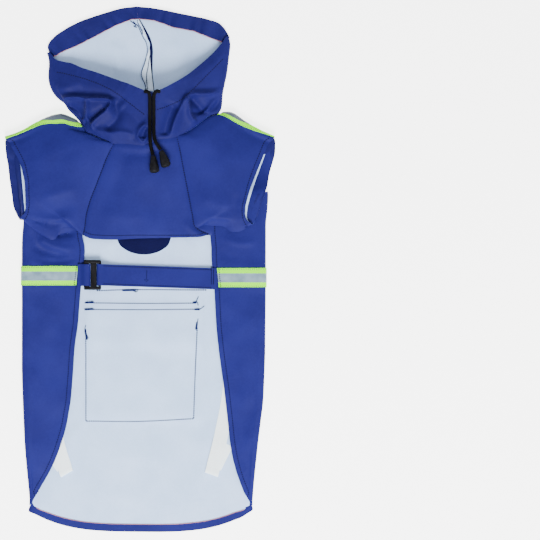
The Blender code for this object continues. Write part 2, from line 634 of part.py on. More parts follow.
def make_sleeve(name, half, seams):
    """Short tube: rows from the armhole to the cuff, columns once round it."""
    side = half["side"]
    fold = divide(half["shoulder_fold"], SLEEVE_STEPS)
    inward = inward_of(fold, side, seams["neck_inward"])
    shares = np.linspace(0, 1, SLEEVE_STEPS + 1)
    radii = np.interp(shares, SLEEVE_RADII["share"], SLEEVE_RADII["radius"])
    arcs = np.array([fold_arc(edge, square, radius, SHOULDER_BASE, FOLD_STEPS)
                     for edge, square, radius in zip(fold, inward, radii)])
    front_start = joined(seams["neck_sleeve"], seams["raglan"], half["underarm"])
    cuff_front = divide([arcs[-1, -1], *half["cuff_front"]], len(front_start) - 1)
    underarm = np.linspace(front_start[-1], cuff_front[-1], SLEEVE_STEPS + 1)
    front = patch(front_start, cuff_front, arcs[:, -1], underarm)
    back_start = joined(seams["back_neck"], seams["armhole"],
                        [seams["armhole"][-1], *half["armhole_end"]])[::-1]
    cuff_back = np.array([arcs[-1, 0], *half["cuff_back"]])[::-1]
    under = np.linspace(back_start[0], cuff_back[0], SLEEVE_STEPS + 1)
    back = patch(back_start, cuff_back, under, arcs[:, 0])
    swell(front, SLEEVE_SWELL)
    closing = underarm_fold(front[:, -1], back[:, 0])
    grid = np.concatenate([front, closing, back, arcs[:, 1:-1]], axis=1)
    return Wall(name, grid, side, closed=True)


def underarm_fold(upper, lower):
    """Two rounded columns between the front's lower edge and the back's."""
    share = np.linspace(0, 1, len(upper))
    bulge = UNDERARM_BULGE[0] + (UNDERARM_BULGE[1] - UNDERARM_BULGE[0]) * share
    columns = []
    for angle in (math.pi / 3, 2 * math.pi / 3):
        level = (1 - math.cos(angle)) / 2
        column = upper + (lower - upper) * level
        column[:, 1] -= bulge * math.sin(angle)
        columns.append(column)
    return np.stack(columns, axis=1)


def swell(grid, height):
    """Raise a panel in its middle and leave its borders where they are."""
    rows, columns = grid.shape[:2]
    across = np.sin(np.pi * np.linspace(0, 1, columns))[None, :]
    along = np.sin(np.pi * np.linspace(0, 1, rows))[:, None]
    grid[:, :, 2] += height * across * along


def hood_fold_arcs(half, seams):
    fold = divide(half["hood_fold"], HOOD_STEPS)
    inward = inward_of(fold, -half["side"], seams["neck_inward"])
    shares = np.linspace(0, 1, HOOD_STEPS + 1)
    radii = np.interp(shares, HOOD_RADII["share"], HOOD_RADII["radius"])
    bases = SHOULDER_BASE * (1 - shares)
    return np.array([fold_arc(edge, square, radius, base, FOLD_STEPS)
                     for edge, square, radius, base in zip(fold, inward, radii, bases)])


def make_hood(name, half, seams):
    """One hood half: rows from the neck to the face edge, columns from the centre seam round."""
    arcs = hood_fold_arcs(half, seams)
    neck_back = joined(seams["nape"], seams["back_neck"][::-1])
    top_edge = divide([*half["hood_top"], arcs[-1, 0]], len(neck_back) - 1)
    back = patch(neck_back, top_edge, divide(HOOD_CENTRE, HOOD_STEPS), arcs[:, 0], NAPE_FADE)
    neck_front = joined(seams["neck_sleeve"], seams["neck_chest"])
    face_edge = divide([arcs[-1, -1], *half["hood_edge"]], len(neck_front) - 1)
    front = patch(neck_front, face_edge, arcs[:, -1], divide(THROAT, HOOD_STEPS))
    raise_hood_folds(front)
    grid = np.concatenate([back, arcs[:, 1:-1], front], axis=1)
    return Wall(name, grid, -half["side"])


def raise_hood_folds(front):
    rows, columns = front.shape[:2]
    for row in range(rows):
        for column in range(columns):
            v, u = row / (rows - 1), column / (columns - 1)
            fade = min(1, 3 * v) * min(1, 4 * u) * min(1, 4 * (1 - u))
            x, y = front[row, column, :2]
            front[row, column, 2] += fade * ridge_height(x, y, HOOD_FOLDS)


# ---------------------------------------------------------------- pieces laid on the body

def make_slit_facing():
    """Half-moon on the inside of the back, cut through where the leash slit is."""
    top = 2 * CLOTH + GAP
    lowest = [FACING_SHOULDER_Y - FACING_DEPTH * math.sqrt(1 - (x / FACING_RADIUS) ** 2) for x in FACING_X]
    rows = [[(CENTRE_X + x, y, top) for x in FACING_X] for y in FACING_Y]
    rows.append([(CENTRE_X + x, (FACING_Y[-1] + low) / 2, top) for x, low in zip(FACING_X, lowest)])
    rows.append([(CENTRE_X + x, low, top) for x, low in zip(FACING_X, lowest)])
    cells = np.ones((len(rows) - 1, len(FACING_X) - 1), bool)
    cells[1:3, FACING_X.index(-SLIT_HALF_WIDTH)] = False
    return Wall("slit_facing", rows, -1, cells=cells)


def make_pocket():
    offsets = np.linspace(-POCKET_HALF_WIDTH, POCKET_HALF_WIDTH, 5)
    rows = [[(CENTRE_X + x, y, float(pocket_height(y))) for x in offsets] for y in POCKET_ROWS]
    return Wall("pocket", rows, 1)


def make_pocket_flap():
    offsets = np.linspace(-FLAP_HALF_WIDTH, FLAP_HALF_WIDTH, 5)
    rows = [[(CENTRE_X + x, y, 0.0) for x in offsets] for y in (FLAP_TOP, FLAP_BOTTOM)]
    return Wall("pocket_flap", rows, 1)


def make_belly_tape():
    """Band round the body, from one flap's edge to the other's, moved out from its section."""
    section = Wall("section", [body_row(y) for y in (TAPE_TOP, (TAPE_TOP + TAPE_BOTTOM) / 2, TAPE_BOTTOM)], 1)
    grid = section.grid + section.normals * (GAP + TAPE_THICKNESS)
    for edge, neighbour, end_x in ((0, 1, BELLY_TAPE_ENDS[0]), (-1, -2, BELLY_TAPE_ENDS[1])):
        share = (end_x - grid[:, edge, 0]) / (grid[:, neighbour, 0] - grid[:, edge, 0])
        grid[:, edge] += (grid[:, neighbour] - grid[:, edge]) * share[:, None]
    return Wall("belly_tape", grid, 1, thickness=TAPE_THICKNESS)


def along_columns(row, order, distance):
    """Point at a distance along a ring's columns, taken in the given order."""
    line = row[list(order)]
    length = np.concatenate([[0], np.cumsum(np.linalg.norm(np.diff(line, axis=0), axis=1))])
    return [np.interp(distance, length, line[:, axis]) for axis in range(3)]


def make_shoulder_tape(name, sleeve):
    """Tape on the sleeve's own points, from its front over the shoulder fold to the outline."""
    front_order = range(0, 6)
    raised = sleeve.grid + sleeve.normals * (GAP + TAPE_THICKNESS)
    rows = []
    for row in raised:
        rows.append([along_columns(row, front_order, SHOULDER_TAPE_FRONT),
                     along_columns(row, front_order, SHOULDER_TAPE_FRONT / 2), row[0],
                     *row[:-FOLD_COLUMNS:-1]])
    grid = np.array(rows)
    grid[0] += (grid[1] - grid[0]) * SHOULDER_TAPE_START
    side = 1 if sleeve.grid[0, 0, 0] > 0 else -1
    return Wall(name, grid, -side, thickness=TAPE_THICKNESS)


# ---------------------------------------------------------------- belt and buckle

def make_ribbon(name, path, middle_y, slope, half_width, thickness, outward):
    """Flat band that follows a path in the X-Z plane."""
    rows = []
    for x, z in path:
        centre = middle_y + slope * (x - STRAP_PATH[12][0])
        rows.append([(x, centre - half_width, z), (x, centre, z), (x, centre + half_width, z)])
    return Wall(name, rows, outward, thickness=thickness)


def add_box(target, low, high):
    """Add a box to a bmesh, in millimetres."""
    size = Vector(high) - Vector(low)
    middle = (Vector(high) + Vector(low)) / 2
    made = bmesh.ops.create_cube(target, size=1)
    bmesh.ops.scale(target, verts=made["verts"], vec=size)
    bmesh.ops.translate(target, verts=made["verts"], vec=middle)


def make_buckle(material):
    """Slide buckle: a frame with two windows, the middle bar between them, its edges eased."""
    xs = [BUCKLE_X[0], BAR_X["left"][1], *BAR_X["middle"], BAR_X["right"][0], BUCKLE_X[1]]
    ys = [BUCKLE_Y[0], BUCKLE_Y[0] + RAIL_WIDTH, BUCKLE_Y[1] - RAIL_WIDTH, BUCKLE_Y[1]]
    frame = bmesh.new()
    add_box(frame, (xs[0], ys[0], RAIL_Z[0]), (xs[-1], ys[-1], RAIL_Z[1]))
    mesh = bpy.data.meshes.new("buckle")
    bmesh.ops.scale(frame, verts=frame.verts, vec=(METRE,) * 3)
    frame.to_mesh(mesh)
    frame.free()
    mesh.materials.append(material)
    buckle = bpy.data.objects.new("buckle", mesh)
    bpy.context.scene.collection.objects.link(buckle)
    cuts = {
        "window_left": ((xs[1], ys[1], 0), (xs[2], ys[2], 20)),
        "window_right": ((xs[3], ys[1], 0), (xs[4], ys[2], 20)),
        "above_bars": ((xs[0] - 1, ys[1], BAR_Z[1]), (xs[-1] + 1, ys[2], 20)),
        "below_bars": ((xs[0] - 1, ys[1], 0), (xs[-1] + 1, ys[2], BAR_Z[0])),
    }
    for cut_name, (low, high) in cuts.items():
        cutter_mesh = bpy.data.meshes.new(cut_name)
        block = bmesh.new()
        add_box(block, low, high)
        bmesh.ops.scale(block, verts=block.verts, vec=(METRE,) * 3)
        block.to_mesh(cutter_mesh)
        block.free()
        cutter = bpy.data.objects.new("cutter_" + cut_name, cutter_mesh)
        bpy.context.scene.collection.objects.link(cutter)
        cutter.hide_render = True
        cutter.display_type = "WIRE"
        boolean = buckle.modifiers.new(cut_name, "BOOLEAN")
        boolean.operation = "DIFFERENCE"
        boolean.object = cutter
    bevel = buckle.modifiers.new("eased_edges", "BEVEL")
    bevel.width = BUCKLE_BEVEL * METRE
    bevel.segments = 1
    bevel.limit_method = "ANGLE"
    return buckle


# ---------------------------------------------------------------- leg elastics

def make_elastic(name, shape):
    """Flat loop: a long strand on the back, folded over at the bottom into a short one on top."""
    low = divide(shape["long"], ELASTIC_LONG_STEPS)[:-1]
    high = divide(shape["short"], ELASTIC_SHORT_STEPS)[1:]
    bottom = np.array(shape["long"][-1])
    inward = np.array(shape["fold_inward"])
    inward /= np.linalg.norm(inward)
    height = ELASTIC_HIGH - ELASTIC_LOW
    bend = [(bottom + inward * reach, ELASTIC_LOW + height * level, inward)
            for reach, level in ELASTIC_BEND]
    travel_low = -np.gradient(low, axis=0)
    travel_high = np.gradient(high, axis=0)
    stations = [(point, ELASTIC_LOW, run) for point, run in zip(low, travel_low)]
    stations += bend
    stations += [(point, ELASTIC_HIGH, run) for point, run in zip(high, travel_high)]
    rows = []
    for point, level, run in stations:
        run = run / np.linalg.norm(run)
        square = np.array([run[1], -run[0]])
        rows.append([(*(point + square * ELASTIC_WIDTH * share), level) for share in (-0.5, 0, 0.5)])
    return Wall(name, rows, 1, thickness=ELASTIC_THICKNESS)


# ---------------------------------------------------------------- drawstring

def make_cord(name, route, material):
    points = divide(route, CORD_STEPS)
    curve = bpy.data.curves.new(name, "CURVE")
    curve.dimensions = "3D"
    spline = curve.splines.new("POLY")
    spline.points.add(len(points) - 1)
    for item, point in zip(spline.points, points):
        item.co = (*(point * METRE), 1)
    curve.bevel_depth = CORD_DIAMETER / 2 * METRE
    curve.bevel_resolution = 2
    curve.use_fill_caps = True
    curve.materials.append(material)
    cord = bpy.data.objects.new(name, curve)
    bpy.context.scene.collection.objects.link(cord)
    return cord


def make_stopper(name, place, material):
    """Bell-shaped cord end, turned round the line from its top to its open end."""
    top, end = Vector(place["top"]), Vector(place["end"])
    turn = (end - top).to_track_quat("Z", "Y")
    points = [top]
    for at, radius in zip(STOPPER_PROFILE["at"], STOPPER_PROFILE["radius"]):
        for index in range(STOPPER_SIDES):
            angle = 2 * math.pi * index / STOPPER_SIDES
            points.append(top + turn @ Vector((radius * math.cos(angle), radius * math.sin(angle), at)))
    points.append(top + turn @ Vector((0, 0, STOPPER_LENGTH)))
    faces = []
    rings = len(STOPPER_PROFILE["at"])
    for index in range(STOPPER_SIDES):
        after = (index + 1) % STOPPER_SIDES
        faces.append((0, 1 + after, 1 + index))
        for ring in range(rings - 1):
            start = 1 + ring * STOPPER_SIDES
            faces.append((start + index, start + after, start + STOPPER_SIDES + after,
                          start + STOPPER_SIDES + index))
        start = 1 + (rings - 1) * STOPPER_SIDES
        faces.append((start + index, start + after, len(points) - 1))
    return add_object(name, points, faces, material)


# ---------------------------------------------------------------- the coat

def clear_scene():
    for item in list(bpy.data.objects):
        bpy.data.objects.remove(item, do_unlink=True)


def make_coat():
    clear_scene()
    blue = make_material("coat_blue", BLUE)
    lime = make_material("tape_lime", TAPE_LIME)
    plastic = make_material("buckle_black", BLACK_PLASTIC)
    elastic = make_material("elastic_white", WHITE_ELASTIC)
    cord = make_material("cord_black", CORD_BLACK)

    left, right = find_seams(LEFT), find_seams(RIGHT)
    body = make_body()
    chest = make_chest(left, right)
    sleeves = [make_sleeve("sleeve_left", LEFT, left), make_sleeve("sleeve_right", RIGHT, right)]
    hoods = [make_hood("hood_left", LEFT, left), make_hood("hood_right", RIGHT, right)]
    share_seam_normals([body, chest, *sleeves, *hoods])
    tapes = [make_shoulder_tape("shoulder_tape_left", sleeves[0]),
             make_shoulder_tape("shoulder_tape_right", sleeves[1]), make_belly_tape()]
    nape = len(left["nape"]) + BACK_NECK_STEPS
    for side, sleeve, hood, seams in ((-1, sleeves[0], hoods[0], left), (1, sleeves[1], hoods[1], right)):
        sleeve.set_back(row=0)
        hood.set_back(row=0)
        hood.set_back(column=0)
        hood.set_back(column=-1)
        ease_corner(sleeve, np.arange(-FOLD_STEPS, 1), seams["neck_inward"], side)
        ease_corner(hood, slice(nape - 1, nape + FOLD_STEPS), seams["neck_inward"], -side)
    chest.set_back(row=0)
    chest.set_back(column=0)
    chest.set_back(column=-1)
    body.set_back(row=0)

    for wall in (body, chest, *sleeves, *hoods, make_slit_facing(), make_pocket(), make_pocket_flap()):
        wall.build(blue)
    make_ribbon("strap_loop", LOOP_PATH, LOOP_MIDDLE_Y, 0, LOOP_HALF_WIDTH, LOOP_THICKNESS, -1).build(blue)
    make_ribbon("belly_strap", STRAP_PATH, STRAP_MIDDLE_Y, STRAP_SLOPE, STRAP_HALF_WIDTH,
                STRAP_THICKNESS, 1).build(blue)
    for tape in tapes:
        tape.build(lime)
    make_buckle(plastic)
    for name, shape in ELASTICS.items():
        make_elastic(name, shape).build(elastic)
    for name, route in CORDS.items():
        make_cord(name, route, cord)
    for name, place in STOPPERS.items():
        make_stopper(name, place, plastic)


make_coat()
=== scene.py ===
"""Dog raincoat laid flat on its back, belly side up: cloth, tapes, stitching and hardware.

The tables are millimetres in the model's frame (+X right, +Y hood end, +Z up, z 0 the surface), and
the objects are built in metres. Every cloth piece starts from the same seam lines as its solid,
becomes a fine grid, gets its creases and is closed into a thin shell.
"""
import math

import bmesh
import bpy
import numpy as np
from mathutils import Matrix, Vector
from mathutils.bvhtree import BVHTree


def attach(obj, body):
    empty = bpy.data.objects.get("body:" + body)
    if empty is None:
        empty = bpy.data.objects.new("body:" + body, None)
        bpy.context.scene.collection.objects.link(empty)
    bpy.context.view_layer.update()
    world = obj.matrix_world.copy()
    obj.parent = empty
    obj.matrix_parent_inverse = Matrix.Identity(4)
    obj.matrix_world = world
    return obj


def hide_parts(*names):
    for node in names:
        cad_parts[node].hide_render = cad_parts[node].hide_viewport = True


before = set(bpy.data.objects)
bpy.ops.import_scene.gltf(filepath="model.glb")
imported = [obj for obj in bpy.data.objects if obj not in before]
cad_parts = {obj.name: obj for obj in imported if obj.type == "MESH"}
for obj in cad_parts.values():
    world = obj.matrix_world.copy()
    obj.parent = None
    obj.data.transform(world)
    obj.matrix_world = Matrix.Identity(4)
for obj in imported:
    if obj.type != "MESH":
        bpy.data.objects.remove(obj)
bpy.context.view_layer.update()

METRE = 0.001
TURN = 2 * math.pi
UP = np.array([0, 0, 1.0])
SIDE_EDGES = ("first_column", "last_column")
END_EDGES = ("first_row", "last_row")

# ---------------------------------------------------------------- sizes of the coat

CENTRE_X = 5.0
CENTRE_HALF_WIDTH = 154.6
LAST_PLAIN_X = 81.0
ROW_SLOPE = -0.0075

# Folds, and the height of a flap's free edge
SIDE_FOLD_RADIUS = 4.0
NECK_FOLD_RADIUS = 2.4
SHOULDER_BASE = 2.2
FLAP_EDGE_TOP = 4.9

# Thickness of the cloth, the air between layers, and how one layer comes down beside another
CLOTH = 1.0
HOOD_SHELL = 0.7
GAP = 0.3
LIFT_RAMP = 9.0
LIFT_MARGIN = 1.6

# Belly tape, pocket, pocket flap and leash slit
TAPE_THICKNESS = 0.9
TAPE_TOP = 2.1
TAPE_WIDTH = 24.7
TAPE_BOTTOM = TAPE_TOP - TAPE_WIDTH
FLAP_TOP = -35.4
FLAP_BOTTOM = -96.3
FLAP_HALF_WIDTH = 71.0
POCKET_TOP = -51.0
POCKET_BOTTOM = -191.8
POCKET_HALF_WIDTH = 68.6
SLIT_BOTTOM = 51.0
SLIT_HALF_WIDTH = 1.0

# Lower hem of the back, which rises toward the corners
HEM_MIDDLE_Y = -342.0
HEM_RISE = 34.0
HEM_REACH = 145.0
HEM_POWER = 3.4

# Outline of the body in plan from the top down, and the top edge of the back from its centre out
BODY_OUTLINE = {
    "left_fold": [(-151.6, 100), (-151.6, 58), (-153.0, 45.6), (-153.6, 30), (-153.7, -135),
                  (-152.1, -181), (-149.8, -232), (-146.4, -270), (-143.1, -299), (-143.8, -308.4)],
    "left_edge": [(-75.5, 70), (-75.5, 48), (-73.7, 34.6), (-71, 25.5), (-71.9, 16.4), (-72.8, 9),
                  (-77.1, -26), (-80.3, -69), (-84.9, -102), (-87.1, -136), (-90, -172), (-96.1, -207),
                  (-103.9, -232), (-112.8, -255), (-126.4, -279), (-139.0, -300.5)],
    "right_edge": [(90.6, 70), (90.8, 48), (92.6, 26), (92.8, 11), (96.5, -27), (99.3, -80), (103.2, -114),
                   (108.8, -154), (113.2, -192), (116.6, -225), (122.2, -255), (131.2, -281.5),
                   (141.0, -304)],
    "right_fold": [(163.8, 100), (165.3, 84), (164.9, 72), (163.5, 60), (163.3, -40), (162.5, -114),
                   (160.3, -170), (153.5, -225), (149.1, -266), (145.2, -306)],
}
BACK_TOP = {
    "x": [0, 24, 48, 72.5, 81, 104, 126.5, 151, 154.6],
    "y": [102.4, 104.5, 110, 124, 158, 150, 137.5, 113.5, 97],
}

# Seams, folds and edges of each half of the coat: plan points, or points with their height
LEFT = {
    "side": -1,
    "shoulder_fold": [(-79.6, 191.6), (-84.6, 193.2), (-91.4, 197.2), (-100.1, 200.4), (-107.5, 200),
                      (-116.6, 197.7), (-127.5, 193.1), (-141.2, 185.8), (-150.3, 180.4),
                      (-162.2, 174.4), (-172, 171.0)],
    "neck_inward": (0.74, -0.68),
    "neck_sleeve": [(-72.8, 185.4, 10), (-71.9, 177.1, 11.5), (-63.7, 174.4, 13), (-54.6, 170.8, 15),
                    (-35.1, 162.2, 18)],
    "neck_chest": [(-35.1, 162.2, 18), (-10.7, 160.9, 21), (2.3, 159.2, 22), (10.1, 160.5, 22.3)],
    "back_neck": [(-76.8, 175, 0.8), (-76, 158, 0)],
    "raglan": [(-35.1, 162.2, 18), (-43.4, 143.5, 17), (-54.6, 114.3, 15), (-63.6, 92, 13),
               (-69.2, 74, 11.5), (-72.5, 51.7, 10)],
    "chest_corner": (-74.9, 43.8, 9.5),
    "underarm": [(-72.5, 51.7, 10), (-74.9, 43.8, 9.5), (-86.7, 52.3, 8), (-100.1, 53.8, 8.4),
                 (-112.7, 37.4, 9.2), (-128.5, 44.5, 10), (-142, 54, 10.6), (-151, 61.8, 10.8)],
    "cuff_front": [(-167.5, 165.5, 8), (-165, 160.7, 9.5), (-158.6, 148, 12), (-153.9, 137.1, 13.5),
                   (-150.8, 124.2, 14.5), (-148.5, 110.6, 15), (-148.1, 96.9, 15), (-148.1, 78.7, 13.5),
                   (-150.3, 71.3, 12.5), (-154.6, 66.8, 11)],
    "cuff_back": [(-172, 166, 0), (-171.8, 159, 0), (-171.2, 151.6, 0), (-170, 143, 0),
                  (-168.4, 133.5, 0), (-166.9, 115, 0), (-165.6, 97, 0), (-164, 79, 0),
                  (-157.2, 64.9, 0)],
    "armhole_end": [(-152.0, 97, 0), (-151.9, 79, 0), (-151.7, 62.9, 0)],
    "hood_fold": [(-79.6, 191.6), (-82.6, 198.8), (-88.6, 207.6), (-96.3, 214.9), (-105, 219.8),
                  (-111.3, 227), (-115.3, 236.7), (-117.8, 249.9), (-118.2, 268), (-119.1, 280.5)],
    "hood_top": [(-5.2, 340.9, 0), (-8.3, 342, 0), (-30.8, 336.9, 0), (-55.6, 329.5, 0),
                 (-80.5, 320.4, 0), (-100.4, 309.6, 0), (-113.6, 298, 0), (-119.2, 288, 0)],
    "hood_edge": [(-109.5, 272, 8.5), (-100.4, 268.9, 11), (-90.5, 267.1, 13), (-75.7, 260.7, 16.5),
                  (-55.6, 254.1, 20.5), (-30.8, 244.9, 25), (-14.2, 239.1, 28), (5.7, 230.6, 31),
                  (16.2, 227.8, 32)],
}
RIGHT = {
    "side": 1,
    "shoulder_fold": [(103.7, 202.3), (108.5, 203.0), (113.8, 203.3), (119.2, 203.1), (124.7, 199.1),
                      (133.9, 192.7), (143, 186.7), (152.1, 181.3), (163.9, 174.9), (171.3, 171.3)],
    "neck_inward": (-0.75, -0.66),
    "neck_sleeve": [(94.6, 199.4, 9), (90.7, 198.4, 9.6), (81.6, 191.8, 12), (72.5, 184.5, 14),
                    (62.7, 178, 16), (49.4, 171.5, 18)],
    "neck_chest": [(49.4, 171.5, 18), (39.6, 168.7, 20), (25.1, 166.9, 21.5), (10.1, 160.5, 22.3)],
    "back_neck": [(95, 180, 0.8), (86, 158, 0)],
    "raglan": [(49.4, 171.5, 18), (55, 141.4, 17), (60.6, 112.1, 15), (66.2, 82.9, 13),
               (70.7, 60.6, 11.5), (74.5, 52.3, 10.5)],
    "chest_corner": (89.6, 44.4, 8.6),
    "underarm": [(74.5, 52.3, 10.5), (83, 55.8, 9.5), (93.4, 55.6, 9.5), (108.3, 54.7, 9.6),
                 (118, 48.4, 9.8), (129.3, 48.4, 10.8), (135, 51, 12.4), (138.6, 53.2, 13.6)],
    "cuff_front": [(164.6, 163.6, 8), (161.2, 155.3, 10.5), (154.8, 137.1, 14), (148.5, 118.8, 16),
                   (143, 103.3, 17.5), (138.5, 87.8, 18), (136.6, 78.7, 18), (136.6, 67.5, 17.5),
                   (139.4, 62.1, 17), (144.6, 58.4, 16)],
    "cuff_back": [(172, 166, 0), (172.2, 159, 0), (172, 151.6, 0), (170.4, 144, 0), (167.6, 133.5, 0),
                  (164.8, 121.5, 0.4), (163.6, 109, 4.5), (161.5, 99, 9), (155.6, 79, 9),
                  (148.6, 59.6, 9)],
    "armhole_end": [(160.2, 106.0, 3.6), (154, 97.5, 9), (146, 79, 9), (139.5, 55.0, 9)],
    "hood_fold": [(103.7, 202.3), (105.2, 206.5), (106.7, 214.2), (107.6, 226.7), (110.2, 239.9),
                  (113.5, 256.6), (116.5, 283.1), (116.2, 294), (115.3, 301.9)],
    "hood_top": [(-5.2, 340.9, 0), (-0.9, 340.6, 0), (19, 338.6, 0), (43.9, 333.6, 0),
                 (68.6, 328.6, 0), (90.2, 323.6, 0), (105, 317, 0), (112.8, 309.5, 0)],
    "hood_edge": [(106.1, 293, 9.5), (93.3, 278.1, 13), (77, 263.2, 18), (60.5, 249.9, 23),
                  (43.9, 239.9, 27), (27.3, 231.2, 31), (16.2, 227.8, 32)],
}

# Lines that both halves share: the hood's centre seam, the throat and the chest's hem
HOOD_CENTRE = [(5, 102.4, 0), (10.5, 160.9, 0), (16.5, 219.4, 0), (16.8, 249.3, 0), (14, 274, 0),
               (10.1, 296.1, 0), (-0.9, 320.8, 0), (-5.2, 340.9, 0)]
THROAT = [(10.1, 160.5, 22.3), (15.2, 180, 26), (16.2, 196, 28.6), (16.2, 227.8, 32)]
CHEST_HEM = [(-74.9, 43.8, 9.5), (-63.6, 39.2, 10.2), (-34.4, 37.6, 11.5), (-3.1, 39.2, 12),
             (41.6, 40.2, 11.5), (79.7, 41.4, 9.2), (89.6, 44.4, 8.6)]

# Coarse steps along each seam, round a fold and across the body
CHEST_STEPS = 7
SLEEVE_NECK_STEPS = 6
BACK_NECK_STEPS = 3
RAGLAN_STEPS = 6
SLEEVE_STEPS = 8
HOOD_STEPS = 14
FOLD_STEPS = 4
FLAP_STEPS = 6
FLAP_SHARES = np.linspace(1, 0, FLAP_STEPS + 1)
UPPER_SHARES = [1, 0.856, 0.6, 0.35, 0.15]
BODY_ROWS = {
    "middle_y": [58, SLIT_BOTTOM, 40, 27, 14.3, 4, -24.4, -33.4, -39, -49.2, -74, -97.9, -106.9, -130,
                 -151, -172, -193.6, -202.6, -228, -252, -275, -297, -318, -335, HEM_MIDDLE_Y],
    "turn": [0] * 18 + [0.05, 0.15, 0.35, 0.6, 0.85, 1, 1],
}
TIP_RISE = 10.0
HEM_CORNERS = {"left": (-143.6, -308.4), "right": (145.0, -308.0)}
FOLD_COLUMNS = FOLD_STEPS - 1
FLAP_END = FLAP_STEPS + 1 + FOLD_COLUMNS
FAR_START = FLAP_END + 2 * len(BACK_TOP["x"]) - 1
BODY_COLUMNS = 2 * FLAP_END + 2 * len(BACK_TOP["x"])
UPPER_ROWS = len(UPPER_SHARES)
TAPE_ROW = BODY_ROWS["middle_y"].index(4)
SLEEVE_SWELL = 2.0
UNDERARM_BULGE = (0.3, 1.7)
SLEEVE_RADII = {"share": [0, 0.25], "radius": [NECK_FOLD_RADIUS, 4.0]}
HOOD_RADII = {"share": [0, 0.3, 0.8, 1], "radius": [NECK_FOLD_RADIUS, 5.0, 5.0, 3.0]}
NAPE_FADE = 3.0

# Cell size of the fine grids
BODY_GRID = 3.2
PANEL_GRID = 2.8
SMALL_GRID = 3
HOOD_GRID = 1.4

# Half-moon facing round the leash slit, and its coarse columns and rows
FACING_RADIUS = 36.0
FACING_SHOULDER_Y = 44.0
FACING_DEPTH = 25.5
FACING_X = [-36, -33, -24, -12, -SLIT_HALF_WIDTH, SLIT_HALF_WIDTH, 12, 24, 33, 36]
FACING_Y = [97, 95, 74, SLIT_BOTTOM]

# Layers of the facing: name, how much larger, top, thickness, cloth, solids it stands for
FACING_LAYERS = {
    # The facing's cloth is the very dark blue, painted shade
    "item": ("slit_facing_cloth", 0.0, 2.5, 0.8, "blue_painted_shade", ["slit_facing"]),
    "edge_item": ("slit_facing_edge", 1.1, 1.75, 0.5, "lining", []),
}

# Rows across the pocket and its flap, from the top down
POCKET_LEVELS = [POCKET_TOP, -74, FLAP_BOTTOM - LIFT_MARGIN, -106.9, -140, POCKET_BOTTOM]
FLAP_LEVELS = [FLAP_TOP, -60, FLAP_BOTTOM]

BELLY_TAPE_ENDS = (-81.5, 101.1)

# Rows across the belly tape as shares of its width, and the shares between which it is grey
BELLY_TAPE_SHARES = np.array([0, 0.14, 0.28, 0.40, 0.52, 0.64, 0.75, 0.88, 1])
BELLY_TAPE_GREY = (0.27, 0.74)

# Strap and its loop as seen from the side, from where they come out
LOOP_PATH = [(-81, 7.65), (-76, 7.8), (-73.6, 9.5), (-71.8, 10.25), (-66.8, 10.25), (-65.3, 9.6),
             (-64.1, 7.8), (-65.0, 5.9), (-66.8, 5.3), (-72, 5.3), (-81, 5.3)]
STRAP_PATH = [(99.8, 6.8), (93, 6.7), (75, 5.8), (45, 5.5), (20, 5.5), (-10, 5.6), (-30, 6.0), (-42, 7.7),
              (-47.5, 9.7), (-50.4, 10.5), (-53.2, 10.5), (-55.4, 9.8), (-56.3, 8), (-55.4, 5.9),
              (-53, 5.1), (-49, 5.0), (-44, 4.1), (-38, 2.9), (-30, 2.6), (-10, 2.6), (12, 2.6)]
STRAP_TURN = STRAP_PATH[12][0]

# Flat bands: path, y of the middle line and its slope, half width, thickness and outer side
RIBBONS = {
    "strap_loop": (LOOP_PATH, -8.2, 0, 14.0, 1.0, -1),
    "belly_strap": (STRAP_PATH, -7.6, -0.0348, 13.8, 1.2, 1),
}

# Slide buckle: its extent, rails, bars and the ribs on the middle bar, which start and stop short of
# the buckle's ends
BUCKLE_X = (-72.8, -50.4)
BUCKLE_Y = (-27.4, 11.4)
RAIL_WIDTH = 4.4
BAR_X = [(-72.8, -66.2), (-63.7, -56.6), (-53.8, -50.4)]
BAR_Z = (6.75, 8.9)
RAIL_Z = (6.0, 9.6)
RAIL_BEVEL = 1.7
BAR_INSET = 1.5
BAR_BEVEL = 0.7
RIB_PITCH = 2.2
RIB_BEVEL = 0.25
RIB_ENDS = (7, 6.5)
RIB_INSET = 0.8
RIB_SINK = 0.4
RIB_HEIGHT = 0.3

# Leg elastics: lines in plan, and the turned end as distance inward and share of the way down
ELASTIC_WIDTH = 18.0
ELASTIC_LOW = CLOTH + GAP
ELASTIC_HIGH = ELASTIC_LOW + 2 + GAP
ELASTICS = {
    "leg_elastic_left": {
        "long": [(-118, -50), (-118.5, -110), (-115.6, -170), (-107.8, -223.5), (-95.2, -265.7)],
        "short": [(-95.2, -265.7), (-108, -248.4), (-119, -233.4)],
        "fold_inward": (-0.498, 0.867),
    },
    "leg_elastic_right": {
        "long": [(115, -54), (117, -110), (115.6, -160), (105.8, -214), (92.7, -266.9)],
        "short": [(92.7, -266.9), (102.4, -247.1), (112.1, -227.4)],
        "fold_inward": (0.34, 0.94),
    },
}
ELASTIC_BEND = [(1.3, 0.0), (0.35, 0.15), (0.0, 0.5), (0.35, 0.85), (1.3, 1.0)]

